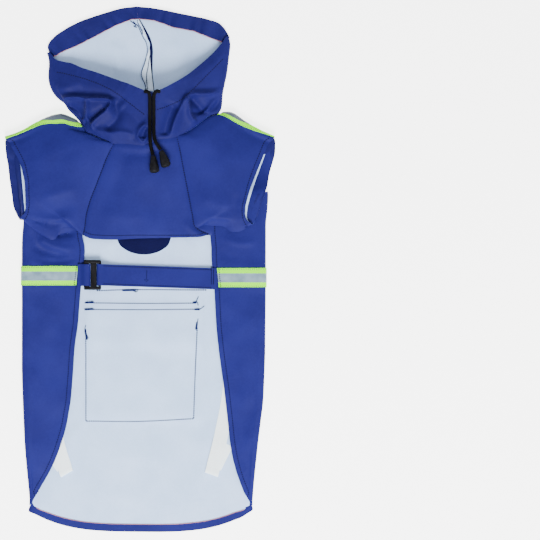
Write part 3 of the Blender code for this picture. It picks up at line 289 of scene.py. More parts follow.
# Free ends of the hood's drawstring and the bells at their ends
CORD_DIAMETER = 4.5
CORDS = {
    "drawcord_left": [(7.4, 228.6, 32.6), (10.4, 228.2, 34.9), (12.8, 225.6, 35.4), (13.9, 219, 34.4),
                      (13.9, 205, 32.7), (13.8, 190, 30.6), (13.8, 172, 27.8), (14.4, 160, 26.0),
                      (16.3, 151, 25.2), (17.6, 147.0, 25.0)],
    "drawcord_right": [(26.4, 228.6, 32.8), (22.9, 229.0, 35.2), (20.0, 226.0, 35.4), (18.8, 219, 34.4),
                       (18.8, 205, 32.7), (18.8, 190, 30.8), (18.9, 173, 28.4), (20.6, 164.5, 27.2),
                       (24.4, 158, 26.2), (27.3, 154.0, 25.7)],
}
STOPPERS = {
    "cord_stopper_left": {"top": (17.75, 146.1, 25.0), "end": (19.8, 124.0, 27.4)},
    "cord_stopper_right": {"top": (28.1, 152.5, 25.6), "end": (35.2, 131.7, 27.6)},
}
STOPPER_LENGTH = 22.0
STOPPER_PROFILE = {
    "at": [0, 0.6, 3.5, 9, 15, 18, 20, 21.3, 22],
    "radius": [2.4, 3.0, 3.7, 5.0, 6.2, 6.6, 6.3, 5.4, 4.2],
}

# ---------------------------------------------------------------- creases and stitch lines

# Each crease: its line in plan, half width, height (hollows are negative), lean to its left side
HOOD_CREASES = [
    ([(-107, 216.5), (-98, 220.5), (-88, 221.8), (-78, 221.5), (-70.5, 219.5), (-68.8, 213), (-69, 206),
      (-70.4, 199), (-72, 189)], 3.3, 5.6, 0.3),
    ([(-76, 220), (-60, 220.2), (-48, 220), (-40, 218.8), (-37.2, 215), (-38.6, 210.6), (-43.4, 205.3),
      (-53.4, 197.1), (-58.9, 191.6), (-62.3, 186.1), (-61, 179.7), (-54, 172.6), (-44, 165)],
     3.4, 6.4, 0.3),
    ([(-95, 213), (-84, 207.5), (-78, 202), (-74.5, 191)], 5.2, -6.6, 0.0),
    ([(-42, 209), (-53, 201.5), (-61, 196.5), (-69, 195)], 4.6, -5.8, 0.0),
    ([(-34, 220), (-30, 208), (-28.5, 198), (-34, 189), (-47, 180)], 6.6, -5.6, 0.0),
    ([(-70, 195), (-71.5, 185), (-71, 176)], 2.4, -4.0, 0.0),
    ([(-60, 179), (-40, 176), (-22, 177), (-4, 172)], 6.5, 3.2, -0.35),
    ([(11, 190), (0.8, 179.2), (-2.2, 172.4), (1.3, 166.1), (4.5, 164), (8.6, 168.8), (10.5, 176)],
     2.4, 3.0, -0.2),
    ([(9.2, 184), (4.9, 174.5), (4.0, 168)], 3.0, -3.2, 0.0),
    ([(-102, 229), (-80, 228), (-60, 226), (-44, 224.5), (-28, 221), (-12, 212)], 5.5, -3.4, 0.0),
    ([(-112, 236), (-96, 234), (-74, 241)], 7.0, 1.8, 0.2),
    ([(-24, 210), (-8, 196), (4, 184)], 9.0, -2.4, 0.2),
    ([(56, 224), (72, 225.8), (90, 226.4), (112, 228.4)], 4.0, 4.4, 0.25),
    ([(110, 229), (97.6, 217.4), (90.3, 208.7), (86, 200)], 3.2, 5.0, -0.3),
    ([(62, 227), (55.6, 212.8), (49.2, 200), (43.7, 185.4), (39, 168)], 4.6, 4.6, 0.4),
    ([(62, 227), (63.8, 212.8), (66.1, 201.9), (69.3, 194.6), (76, 186)], 3.6, 6.0, -0.4),
    ([(65, 222), (75, 211.5), (83, 202)], 6.0, -7.4, 0.0),
    ([(64, 203), (78, 202.5), (91, 202.5)], 3.0, -3.0, 0.0),
    ([(107, 223), (98.5, 210), (94, 201)], 4.6, -6.0, 0.0),
    ([(46, 216), (39.2, 199.5), (34.6, 186), (31, 168)], 7.0, -5.4, 0.0),
    ([(66, 233), (90, 234), (112, 238)], 5.0, -1.6, 0.0),
    ([(50, 240), (72, 250), (98, 270)], 8.0, 1.2, 0.2),
]
HOOD_BACK_CREASES = [
    ([(119, 240), (99, 210), (86, 183), (70, 160)], 9.0, 2.6, 0.3),
    ([(62, 264), (38, 228), (22, 196), (12, 150)], 9.0, 2.4, -0.3),
    ([(78, 178), (52, 138), (42, 116)], 8.0, 1.8, 0.2),
    ([(-14, 256), (-11, 208), (-4, 140)], 7.0, 1.9, 0.3),
    ([(-74, 170), (-42, 142), (-24, 124)], 8.0, 2.2, -0.2),
    ([(-58, 236), (-34, 190), (-20, 150)], 10.0, 1.8, 0.3),
    ([(-90, 268), (-62, 240), (-48, 210)], 12.0, 1.2, 0.0),
    ([(-40, 300), (-28, 272), (-30, 246)], 8.0, 1.7, 0.3),
    ([(40, 306), (48, 276), (44, 250)], 10.0, 1.1, -0.2),
    ([(84, 296), (70, 272), (66, 250)], 9.0, 1.0, 0.2),
]
CHEST_CREASES = [
    ([(-36, 157), (-14, 151), (14, 151), (40, 160)], 8.0, -3.8, 0.2),
    ([(-16, 158), (-22, 128), (-36, 96)], 13.0, -1.1, 0.3),
    ([(28, 152), (34, 112), (44, 74)], 12.0, 1.0, -0.2),
    ([(-56, 76), (-18, 66), (18, 70)], 11.0, 0.9, 0.2),
    ([(58, 66), (66, 52), (86, 44)], 4.5, 2.4, 0.3),
    ([(-4, 108), (12, 86), (14, 62)], 14.0, -0.7, 0.0),
]
SLEEVE_CREASES = [
    ([(-132, 90), (-104, 97), (-74, 106)], 8.0, 1.8, 0.35),
    ([(-120, 74), (-98, 78), (-72, 84)], 6.5, -1.4, 0.2),
    ([(-140, 66), (-120, 62), (-98, 64), (-80, 62)], 4.2, 2.6, 0.3),
    ([(-143, 64), (-128, 60.5), (-110, 57.5), (-90, 55)], 2.6, -3.0, 0.2),
    ([(-142, 150), (-128, 124), (-126, 96)], 13.0, 1.0, 0.2),
    ([(-104, 184), (-96, 158), (-84, 138)], 12.0, -1.0, 0.0),
    ([(76, 178), (88, 158), (98, 134)], 12.0, -1.1, 0.2),
    ([(132, 158), (122, 124), (120, 94)], 13.0, 1.0, -0.2),
    ([(84, 64), (104, 66), (126, 62)], 4.6, 2.4, 0.3),
    ([(76, 96), (96, 84), (122, 82)], 8.0, 1.4, 0.3),
    ([(128, 100), (122, 82), (126, 66)], 5.5, -1.3, 0.2),
    ([(74, 122), (92, 114), (114, 116)], 10.0, -0.9, 0.0),
]
FLAP_CREASES = [
    ([(-150, 50), (-132, 38), (-114, 29), (-98, 25), (-82, 27)], 4.0, 3.2, 0.3),
    ([(-140, 15), (-118, 9), (-96, 10), (-80, 14)], 6.0, -3.4, 0.5),
    ([(-144, 34), (-126, 23), (-106, 17), (-90, 15)], 6.5, -4.8, 0.2),
    ([(-116, 42), (-100, 46), (-82, 47)], 4.5, -5.0, 0.0),
    ([(-146, 48), (-136, 40), (-126, 36)], 5.0, -3.4, 0.0),
    ([(-128, 22), (-106, 13), (-84, 16)], 5.0, 1.5, 0.3),
    ([(-148, 4), (-130, 12), (-108, 8)], 6.0, 1.0, 0.2),
    ([(-140, -40), (-124, -62), (-120, -94)], 9.0, 1.3, 0.3),
    ([(-112, -34), (-104, -60), (-100, -88)], 7.0, -0.8, 0.2),
    ([(-146, -122), (-130, -150), (-126, -186)], 10.0, 1.1, -0.3),
    ([(-118, -140), (-108, -164), (-106, -196)], 8.0, 0.8, 0.2),
    ([(-142, -216), (-130, -244), (-132, -272)], 8.0, 0.9, 0.2),
    ([(104, 46), (116, 36), (138, 32), (156, 38)], 5.0, 1.8, 0.3),
    ([(98, 30), (112, 18), (134, 12)], 6.0, -1.1, 0.0),
    ([(112, -38), (126, -60), (130, -96)], 9.0, 1.1, 0.3),
    ([(150, -50), (142, -84), (146, -120)], 8.0, 0.9, -0.3),
    ([(120, -118), (134, -148), (138, -186)], 10.0, 1.2, 0.3),
    ([(154, -176), (144, -208), (140, -242)], 8.0, 0.8, 0.2),
    ([(126, -226), (136, -252), (138, -276)], 6.0, 0.7, 0.0),
]
BACK_CREASES = [
    ([(30, 108), (54, 78), (92, 14)], 9.0, 2.0, 0.3),
    ([(-12, 82), (-30, 46), (-48, 12)], 9.0, 1.7, -0.3),
    ([(130, 112), (96, 106), (58, 110)], 7.0, 1.4, 0.2),
    ([(-118, 120), (-92, 84), (-84, 44)], 10.0, 1.2, 0.2),
    ([(146, -34), (124, -58), (94, -72)], 8.0, 1.8, 0.3),
    ([(-136, -48), (-116, -68), (-92, -76)], 8.0, 1.6, -0.3),
    ([(-72, -196), (-91, -222), (-100, -280)], 10.0, 1.6, 0.3),
    ([(72, -204), (84, -240), (76, -290)], 11.0, 1.1, -0.2),
    ([(-40, -232), (-6, -246), (34, -240)], 12.0, 1.2, 0.3),
    ([(-52, -292), (-14, -300), (20, -322)], 10.0, 0.9, 0.2),
    ([(24, -270), (52, -296), (60, -326)], 9.0, 0.9, 0.0),
    ([(-62, -120), (-28, -112), (8, -122)], 10.0, 0.7, 0.2),
    ([(22, -150), (40, -128), (58, -126)], 9.0, 0.7, 0.0),
]

# Slow unevenness of laid cloth: length of the wave, its direction in degrees, height, start
WAVES = [(95, 20, 0.34, 0.4), (61, 75, 0.22, 2.1), (42, 130, 0.13, 4.0), (27, 160, 0.07, 1.2)]

# Share of a crease over which it dies out at each end, and how round it is: a low power is crisp
CREASE_END = 0.32
HOOD_CREASE_END = 0.17
SOFT_POWER = 2.0
CHEST_POWER = 1.7
HOOD_POWER = 1.6
CRISP_POWER = 1.5

# Coarse columns and rows over which the creases fade in beside a fold or a seam
BACK_FADE = (-0.3, 1.2)
FLAP_FADE_START = 4.6
FAR_FLAP_FADE_START = 7.2
FLAP_FADE = 1.6
FLAP_CREASE_TOP = 60
FLAP_CREASE_FADE = 18
CHEST_FADE = 1.2
SLEEVE_FADE = 1.5
HOOD_FADE = 1.8

# Inner line of the hood's turned-in hem on the laid half, in plan
HOOD_HEM_LINE = [(-118, 274), (-108.7, 277), (-97.1, 283.5), (-80.5, 290.3), (-55.6, 303.5),
                 (-30.8, 316.5), (-11, 323.8), (-3, 324.6), (4, 323.9), (19, 322), (29, 318.8),
                 (44, 313), (68.6, 309), (85.3, 302.3), (105, 294.8), (118, 288)]

# Widths of the turned-in hems, how far they lie off the cloth, and their rows as shares of the width
FRONT_HEM_WIDTH = 17.0
HEM_LIFT = 0.5
CUFF_HEM_WIDTH = 14.2
BODY_HEM_WIDTH = 10.0
CHEST_HEM_WIDTH = 8.0
HEM_SHARES = np.array([0.02, 0.2, 0.4, 0.6, 0.8, 0.96, 1.0])

# Distances of stitch lines from the edges of flaps, cuffs, chest and body
EDGE_STITCH = 6.3
CUFF_STITCH = 5.8
CHEST_STITCH = 5.4
HEM_STITCH = 6.0

# Stitch lines seen on the front of the hood and on the lining, in plan
CHANNEL_LINES = [
    [(-108, 255), (-98, 253), (-72, 246), (-46, 236), (-26, 224.4), (-19.8, 218.9), (-8.7, 210.7),
     (-1.6, 205.1), (6.8, 198.8)],
    [(22.4, 205.2), (30.6, 207.9), (39.6, 211.6), (51.5, 217.0), (62.4, 225.4), (77.7, 240.8),
     (94.6, 258.4), (108, 272)],
]
POCKET_LINES = [
    [(-72.5, -44.1), (-0.3, -45.0), (72.9, -44.6)],
    [(-72.5, -52.7), (-0.3, -53.1), (78.5, -52.4)],
    [(-70.6, -84.0), (-70.5, -197.9)],
    [(-70.5, -197.9), (-0.3, -198.3), (69.5, -194.7)],
    [(74.2, -76.0), (71.4, -138.1), (69.5, -194.7)],
    [(-56.9, -28.4), (-5.5, -27.1), (86.3, -27.6)],
]
KNOTS = [
    [(-71, -44.1), (-60, -43.4)],
    [(-72.5, -52.9), (-60, -52.2)],
    [(-71.2, -78), (-70.4, -84), (-68.6, -92.4)],
    [(73.9, -69), (73.4, -74), (72.4, -79.4)],
    [(-23.7, -28.0), (-5.5, -27.8)],
    [(68, -44.0), (73.5, -43.6)],
    [(70, -52.8), (78, -52.7)],
]
LOOSE_ENDS = [
    [(72.7, -44.2), (74.0, -40.0), (75.8, -35.8)],
    [(72.4, -41.6), (74.6, -44.6), (75.4, -48.4)],
    [(77, -52.7), (80.5, -50.6), (83.4, -48.2)],
    [(-71.5, -80), (-71.3, -76.5), (-70.2, -73)],
    [(-70.0, -84), (-68.4, -87.4), (-66.8, -90.6)],
    [(73.4, -74), (74.6, -69), (75.2, -64.4)],
    [(-8.6, -27.6), (-5.0, -26.6), (-3.0, -28.2), (-5.6, -30.2), (-8.0, -28.8)],
]

# Raw seam inside the hood and the gap beside it, which a dark strip of painted shadow fills, in plan
SEAM_ALLOWANCE = [(-5.1, 324.2), (-1.4, 318.6), (3.4, 311.5), (3.2, 304.7), (10.6, 296.0), (12.0, 290.5),
                  (9.4, 279), (4.8, 266), (1.4, 255.4), (1.9, 249), (6.9, 240), (7.6, 231.6)]
SEAM_GAP = [(-1.6, 324.0), (4.8, 311), (10.5, 296.6), (12.6, 284), (12.8, 274.8), (14.2, 258), (15.8, 245),
            (17.4, 231.2)]
SEAM_STEPS = 64

# Rows of the seam allowance as shares of its width, its rise over the cloth, its arch and its wavy edge
ALLOWANCE_SHARES = [0, 0.12, 0.35, 0.6, 0.85, 1]
ALLOWANCE_RISE = 0.9
ALLOWANCE_ARCH = 1.5
ALLOWANCE_CURL = 0.6
ALLOWANCE_WAVES = 40

# Width of the painted shadow strip in the gap at its ends, how much wider it gets, how near its top that
# is, and its rise
GAP_WIDTH = 1.2
GAP_SWELL = 2.8
GAP_PEAK = 1.25
GAP_POWER = 1.2
GAP_RISE = 0.25

SEAM_THREADS = [
    [(-13.2, 322.5), (-8, 318.6), (-3.2, 315.8), (0.2, 309.1), (3.6, 301.2), (8.0, 293.4), (9.2, 282.2),
     (5.8, 266.5), (1.8, 253.1), (6.9, 237.4), (8.0, 229.5)],
    [(12.5, 277), (10.3, 262.1), (8.5, 250.9), (9.6, 232)],
    [(-3.2, 323.6), (-2.5, 318), (0.9, 312.4), (4, 304.6)],
    [(-9.2, 321.2), (-5.2, 316.8), (-8.4, 314.9), (-3.6, 313.6)],
]

# Loose threads: their lines in plan, radius and rise over the cloth
LOOSE_THREADS = {
    "loose_threads": (LOOSE_ENDS, 0.5, 0.6),
    "thread_knots": (KNOTS, 1.25, 0.5),
    "hood_seam_threads": (SEAM_THREADS, 0.5, 0.3),
}

# Stitch lines on the outside of the back, in plan
SLIT_BORDER = [(1.6, 99), (1.4, 70), (2.0, 50.5), (5.0, 46.6), (8.0, 50.5), (8.6, 70), (8.4, 99)]
FLAP_FASTENER = [(-13.5, -89.2), (-15.6, -72.6), (17.8, -72.4), (18.0, -89.2)]
TRIANGLES = [
    [(114.6, -46.2), (105.8, -46.4), (109.9, -55.3)],
    [(-115.3, -40.7), (-124.3, -41), (-119.4, -49.8)],
    [(106.4, -233.2), (97.4, -233), (102.2, -224.0)],
    [(-112.4, -232.2), (-121.4, -232), (-116.6, -223.0)],
]

# Rows that hold the strap on the right flap, and marks stitched on the strap, in plan
STRAP_ENDS = [[(95.4, -20.5), (95.4, 3.6)], [(92.6, -20.5), (92.6, 3.6)]]
STRAP_MARKS = [[(8.8, -1.6), (8.3, -14.6)], [(5.6, -13.2), (8.2, -16.6), (10.9, -13.6)]]

# Usual stitch, with its ends and shoulders as shares of its length from its middle
STITCH_PITCH = 3.1
STITCH_LENGTH = 2.6
STITCH_SHARES = (-0.5, -0.28, 0.28, 0.5)

# Height from which the coat is looked at, to find where a stitch or a thread lies
RAY_START = 200.0

# ---------------------------------------------------------------- seams, hems and edges

# How deep and how wide a seam presses the cloth in, and how far it goes under its neighbour
SEAM_DEPTH = 1.0
SEAM_REACH = 2.6
SEAM_OVERLAP = 0.5

# How far the inner face beside a seam or an edge shows the outer cloth
SEAM_COVER = 4.0
EDGE_COVER = 1.6

# Ripples of the hems and of the cloth at a row of stitches
HEM_RIPPLE_LENGTH = 19.0
HEM_RIPPLE_SLANT = 9
PUCKER_SLANT = 0.6

# Hems whose raw edge shows as a line, and the shares of the hem where the line starts and ends
CUT_EDGES = [("body", 0.05, 0.95), ("hood_left", 0.0, 0.5), ("hood_right", 0.0, 0.5)]
CUT_EDGE_RADIUS = 0.42

# Lower corners of the body: how far they hang, and where their inner face and hem are wider
CORNER_DROP = 6.4
CORNER_DROP_TOP = -272
CORNER_DROP_RUN = 34
CORNER_COVER = 10.5
CORNER_SHIFT = 6.0
CORNER_HEM = 4.0

# Plan moves that bring rounded corners back out to the outline: centre, move, radius
BODY_PUSHES = [((164, 90), (1.6, 9.0), 12.5), ((-142, -306.0), (-2.0, 0.4), 6.0),
               ((141.5, -305.5), (2.6, 0.2), 5.0)]
HOOD_PUSHES = {
    "left": [((-119, 291), (-5.6, 0), 8.0, "back"), ((-119, 284), (-2.6, 0), 7.5, "all"),
             ((-90, 206), (-4.2, -1.6), 12.0, "all"), ((-116, 242), (-1.8, 0), 16.0, "all")],
    "right": [((113, 305), (4.4, 0), 9.0, "back"), ((117, 292), (0.8, 0), 8.0, "all")],
}

# ---------------------------------------------------------------- tapes, cuffs and small parts

# Height of the tapes over the cloth, and of the cloth over the ground near a shoulder fold
TAPE_RISE = 1.1
TAPE_BED = 1.2
TAPE_BED_REACH = (20.0, 30.0)

# Shoulder tape: its front edge's distance from the outline by the share of the way to the cuff
SHOULDER_TAPES = {
    "left": {"share": [0, 0.09, 0.19, 0.37, 0.48, 0.55, 0.74, 0.9, 1],
             "reach": [12.0, 16.0, 18.0, 14.8, 9.8, 7.6, 5.0, 4.4, 4.8]},
    "right": {"share": [0, 0.15, 0.25, 0.45, 0.63, 0.75, 0.9, 1],
              "reach": [7.5, 11.5, 13.6, 10.6, 7.0, 5.2, 3.2, 2.4]},
}
SHOULDER_TAPE_BORDERS = [0, 3.0, 6.0, 8.9, 11.7, 14.5, 17.4, 21.0, 24.7]
SHOULDER_TAPE_GREY = (5.9, 17.3)
SHOULDER_TAPE_START = 0.04

# Coarse column on the fold's outermost line, counted from the front's first column
FOLD_OUTLINE = -2

# How far the upper part of a cuff is carried out, and where that starts and is full
CUFF_REACH = 3.4
CUFF_REACH_ACROSS = (140.0, 172)
CUFF_REACH_UP = (70, 130)

# Inner face of the right cuff: shares across it, the share where the hem's blue ends, how far it
# goes on under the back, and its upper end
CUFF_SHARES = [0.05, 0.25, 0.45, 0.65, 0.76, 0.88, 1.0]
CUFF_BLUE = 0.76
CUFF_UNDER = 2.5
CUFF_STEPS = 30
CUFF_TOP = {"back": (171.5, 169.5, 0.4), "front": (168, 168.5, 6)}

# Inner face of the left cuff beside the armhole, as rows of points from blue to lining
LEFT_CUFF_GAP = [
    [(-164, 150, 1.8), (-158.5, 149, 4.5), (-156.4, 148, 5.0), (-150.5, 146, 6.6)],
    [(-162, 125, 1.8), (-156.6, 125.5, 6.2), (-154.2, 125.5, 6.8), (-146.5, 124, 8.0)],
    [(-159.5, 108, 1.8), (-154.6, 108, 8.2), (-152.4, 108, 8.8), (-144, 108, 9.2)],
    [(-158.5, 92, 1.8), (-153, 92, 9.3), (-150.9, 92, 9.8), (-143.5, 92, 10.0)],
    [(-156, 80, 1.8), (-152.2, 80, 9.5), (-149.9, 80, 9.8), (-143.5, 80, 10.0)],
    [(-155, 68, 1.8), (-151.6, 68, 9.0), (-149.3, 68, 9.3), (-144.5, 68, 9.6)],
]
LEFT_CUFF_BLUE_COLUMNS = 2

# Pleat between the chest's right corner and the sleeve, as rows of points
PLEAT = [[(72.5, 50.0, 8.0), (79.5, 47.6, 7.6), (86, 44.9, 7.0), (93.4, 42.6, 6.4)],
         [(73.2, 52.0, 8.9), (80.5, 50.6, 8.9), (87, 48.4, 8.3), (94.2, 46.4, 7.6)],
         [(73.6, 53.6, 8.8), (81, 53.6, 8.6), (88, 52.6, 8.2), (95, 51.0, 7.9)],
         [(73.0, 55.0, 8.0), (80, 57.5, 7.9), (88, 58.0, 7.8), (96, 58.0, 7.8)]]

ELASTIC_CLEARANCE = 0.2
ELASTIC_SHARES = (-0.5, -0.46, 0, 0.46, 0.5)

# Where the elastic rises onto its turned end: share of its length at the start, share it takes
ELASTIC_RISE = (0.76, 0.12)

# Loose threads, whose ends are thinner, and the cord's braid
THREAD_SIDES = 6
THREAD_TIP = 0.2
BRAID_STEP = 0.45
BRAID_SIDES = 28
BRAID_STRANDS = 4
BRAID_LAY = 1.9
BRAID_DEPTH = 0.05

STOPPER_SIDES = 40
STOPPER_GROOVES = (15.2, 17.4)
GROOVE_DEPTH = 0.35
GROOVE_WIDTH = 0.45
STOPPER_MOUTH = [(22.0, 3.6), (20.8, 3.2), (18.0, 2.8), (18.0, 0.05)]

# ---------------------------------------------------------------- camera and light

# Middle and width of the photo in the coat's plan, with the camera straight above
PHOTO_CENTRE = (168.7, -1.6)
PHOTO_WIDTH = 702.0
CAMERA_HEIGHT = 4000.0
SENSOR = 36.0

WHITE = (1, 1, 1, 1)
FLOOR_HALF = 6.0
FLOOR_LEVEL = -0.0004
FLOOR_GLOW = 3.4
WORLD_STRENGTH = 0.75

# Each light: its place and size in metres, with its power in watts between them
LIGHTS = {
    "key": ((0.2, -1.6, 1.8), 160, 1.1),
    "fill": ((1.3, 1.0, 2.6), 36, 2.2),
}

# ---------------------------------------------------------------- colours and threads

# Threads of the woven cloths: pitch and relief in metres
WEAVE_PITCH = 0.0009
WEAVE_RELIEF = 0.00003

# Each cloth: its name, darker and lighter colour, roughness, specular, then crumple, pitch and relief
CLOTHS = {
    "blue": ("coated_cloth_blue", (0.0078, 0.0082, 0.092), (0.0104, 0.0114, 0.114), 0.6, 0.08, 0.0004),
    # Paler blue of the rims: a painted highlight along the cloth's edges
    "blue_lit_edge": ("coated_cloth_edge", (0.016, 0.022, 0.155), (0.022, 0.034, 0.20), 0.5, 0.15),
    # Darker blue of the cuffs' turned-in hems and inner faces: painted shade inside the sleeves
    "blue_inside_shaded": ("coated_cloth_inside", (0.0062, 0.0064, 0.070), (0.0078, 0.0082, 0.086), 0.62, 0.08),
    # Darker blue of the hood and its hem: painted shade, as the light falls off toward the hood
    "blue_hood_shaded": ("coated_cloth_hood", (0.0066, 0.0066, 0.073), (0.0086, 0.0088, 0.092), 0.6, 0.08,
                  0.0004),
    # Very dark blue: the same cloth painted darker as shade, for the leash slit's facing and the hood's
    # seam gap
    "blue_painted_shade": ("coated_cloth_facing", (0.0022, 0.0022, 0.027), (0.0032, 0.0032, 0.036), 0.66, 0.05),
    "lining": ("coated_cloth_back", (0.385, 0.535, 0.80), (0.44, 0.60, 0.87), 0.6, 0.15, 0.0003),
    "raw_edge": ("raw_seam_edge", (0.54, 0.68, 0.88), (0.66, 0.78, 0.94), 0.8, 0.1),
    "hem_edge": ("cut_edge", (0.16, 0.10, 0.22), (0.26, 0.17, 0.30), 0.8, 0.1),
    "cut_edge": ("cut_edge_backing", (0.30, 0.13, 0.16), (0.42, 0.20, 0.23), 0.8, 0.1),
    "lime": ("tape_lime_cloth", (0.215, 0.77, 0.0), (0.25, 0.86, 0.0), 0.65, 0.01, 0.0, 0.0011, 0.00005),
    "cord": ("cord_braid", (0.0016, 0.0016, 0.002), (0.0045, 0.0045, 0.0055), 0.8, 0.04,
             0.0, 0.0007, 0.00006),
}
REFLECTIVE = {
    "grey": ("tape_reflective", (0.105, 0.165, 0.215), (0.18, 0.26, 0.32)),
    # Darker copy of the reflective grey for the shoulder tapes: painted shade, as the beads return less
    # light at that angle
    "grey_shaded": ("tape_reflective_side", (0.06, 0.08, 0.105), (0.09, 0.115, 0.15)),
}
THREADS = {
    "thread": ("thread_navy", (0.0012, 0.0012, 0.018), (0.0026, 0.0026, 0.028)),
    "thread_bright": ("thread_on_lining", (0.003, 0.0055, 0.05), (0.006, 0.010, 0.075)),
    "thread_tape": ("thread_on_tape", (0.02, 0.07, 0.02), (0.06, 0.16, 0.02)),
}

# Each kind of stitch: its thread, half width and height
STITCHES = {
    "navy": ("thread", 0.68, 0.34),
    "raglan": ("thread", 1.1, 0.4),
    "lining": ("thread_bright", 0.95, 0.5),
    "tape": ("thread_tape", 0.42, 0.2),
}


# ---------------------------------------------------------------- lines and grids

def smooth_line(points, per_span=12):
    """Catmull-Rom curve through the points, as a dense line."""
    points = np.array(points, dtype=float)
    padded = np.vstack([2 * points[0] - points[1], points, 2 * points[-1] - points[-2]])
    line = []
    for before, start, end, after in zip(padded[:-3], padded[1:-2], padded[2:-1], padded[3:]):
        for step in range(per_span):
            t = step / per_span
            line.append(0.5 * (2 * start + (end - before) * t
                               + (2 * before - 5 * start + 4 * end - after) * t ** 2
                               + (3 * start - before - 3 * end + after) * t ** 3))
    line.append(points[-1])
    return np.array(line)


def run_lengths(line):
    """Distance from the line's start to each of its points."""
    return np.concatenate([[0], np.cumsum(np.linalg.norm(np.diff(line, axis=0), axis=1))])


def at_distances(line, wanted):
    length = run_lengths(line)
    return np.column_stack([np.interp(wanted, length, line[:, axis]) for axis in range(line.shape[1])])


def divide(points, steps):
    """Evenly spaced points along the smooth curve through the given points."""
    line = smooth_line(points)
    return at_distances(line, np.linspace(0, run_lengths(line)[-1], steps + 1))


def joined(*lines):
    """Lines that start where the one before ends, as one line."""
    first, *others = [np.array(line, dtype=float) for line in lines]
    return np.vstack([first] + [line[1:] for line in others])


def patch(bottom, top, left, right, bottom_fade=1.0):
    """Surface between four lines: bottom and top run along the columns, left and right along the
    rows. The bottom's own shape fades out upward, faster with a higher bottom_fade."""
    rows, columns = len(left), len(bottom)
    u = np.linspace(0, 1, columns)[None, :, None]
    v = np.linspace(0, 1, rows)[:, None, None]
    ruled = (1 - u) * left[:, None] + u * right[:, None]
    bottom_shape = bottom[None] - (1 - u) * bottom[0] - u * bottom[-1]
    top_shape = top[None] - (1 - u) * top[0] - u * top[-1]
    return ruled + (1 - v) ** bottom_fade * bottom_shape + v * top_shape


def inward_of(line, side, first):
    """Unit vectors in the plane, square to a line on one side of its travel, eased along it."""
    tangent = np.gradient(line[:, :2], axis=0)
    square = side * np.column_stack([tangent[:, 1], -tangent[:, 0]])
    square /= np.linalg.norm(square, axis=1)[:, None]
    square[0] = first
    for _ in range(2):
        square[1:-1] = (square[:-2] + 2 * square[1:-1] + square[2:]) / 4
    return square / np.linalg.norm(square, axis=1)[:, None]


def fold_arc(edge, inward, radius, base, steps):
    """Half circle round a fold's edge, from the lower layer to the upper one."""
    angles = np.linspace(-math.pi / 2, math.pi / 2, steps + 1)
    reach = radius * (1 - np.cos(angles))
    height = base + radius * (1 + np.sin(angles))
    plan = np.array(edge)[None, :2] + reach[:, None] * np.array(inward)[None, :2]
    return np.column_stack([plan, height])


def plateau(value, low, high):
    """1 between two limits and a margin, falling to 0 over the ramp beyond them."""
    outside = np.maximum(low - LIFT_MARGIN - value, value - high - LIFT_MARGIN)
    return np.clip(1 - outside / LIFT_RAMP, 0, 1)


def smooth_step(value):
    value = np.clip(value, 0, 1)
    return value * value * (3 - 2 * value)


def spline_weights(spans, step, least=1):
    """Weights of a smooth curve through unevenly spaced points, cut into pieces of about one step,
    and the place of each piece's start in the count of the given points."""
    count = len(spans) + 1
    slopes = np.diff(np.eye(count), axis=0) / spans[:, None]
    tangents = np.empty((count, count))
    tangents[0], tangents[-1] = slopes[0], slopes[-1]
    before, after = spans[:-1, None], spans[1:, None]
    tangents[1:-1] = (after * slopes[:-1] + before * slopes[1:]) / (before + after)
    unit = np.eye(count)
    weights, places = [], []
    for index, span in enumerate(spans):
        pieces = max(least, math.ceil(span / step))
        for t in np.arange(pieces) / pieces:
            weights.append((2 * t ** 3 - 3 * t ** 2 + 1) * unit[index]
                           + (t ** 3 - 2 * t ** 2 + t) * span * tangents[index]
                           + (3 * t ** 2 - 2 * t ** 3) * unit[index + 1]
                           + (t ** 3 - t ** 2) * span * tangents[index + 1])
            places.append(index + t)
    weights.append(unit[-1])
    places.append(float(count - 1))
    return np.array(weights), np.array(places)


def mean_spans(grid, axis):
    return np.linalg.norm(np.diff(grid, axis=axis), axis=2).mean(axis=1 - axis)


# ---------------------------------------------------------------- creases

def relief(x, y, creases, power=SOFT_POWER, dying=CREASE_END):
    """Height of ridges and hollows: each follows its own line and dies out over a share at
    both ends. A low power makes them crisp."""
    total = np.zeros_like(x)
    for points, width, height, lean in creases:
        line = smooth_line(points, 4)
        lengths = run_lengths(line)
        nearest = np.full(x.shape, 1e9)
        hand = np.zeros_like(x)
        share = np.zeros_like(x)
        for start, end, before in zip(line[:-1], line[1:], lengths):
            run = end - start
            size = np.hypot(*run)
            t = np.clip(((x - start[0]) * run[0] + (y - start[1]) * run[1]) / size ** 2, 0, 1)
            dx, dy = x - start[0] - t * run[0], y - start[1] - t * run[1]
            distance = np.hypot(dx, dy)
            closer = distance < nearest
            nearest[closer] = distance[closer]
            hand[closer] = np.sign(run[0] * dy - run[1] * dx)[closer]
            share[closer] = ((before + t * size) / lengths[-1])[closer]
        taper = smooth_step(share / dying) * smooth_step((1 - share) / dying)
        total += height * taper * np.exp(-(nearest / (width * (1 + lean * hand))) ** power)
    return total


def unevenness(x, y):
    """Slow, slightly wandering waves of laid cloth."""
    total = np.zeros_like(x)
    for length, direction, height, start in WAVES:
        angle = math.radians(direction)
        wander = 0.8 * np.sin((x - y) / (1.7 * length))
        across = x * math.cos(angle) + y * math.sin(angle)
        total += height * np.sin(across * TURN / length + start + wander)
    return total


# ---------------------------------------------------------------- panels

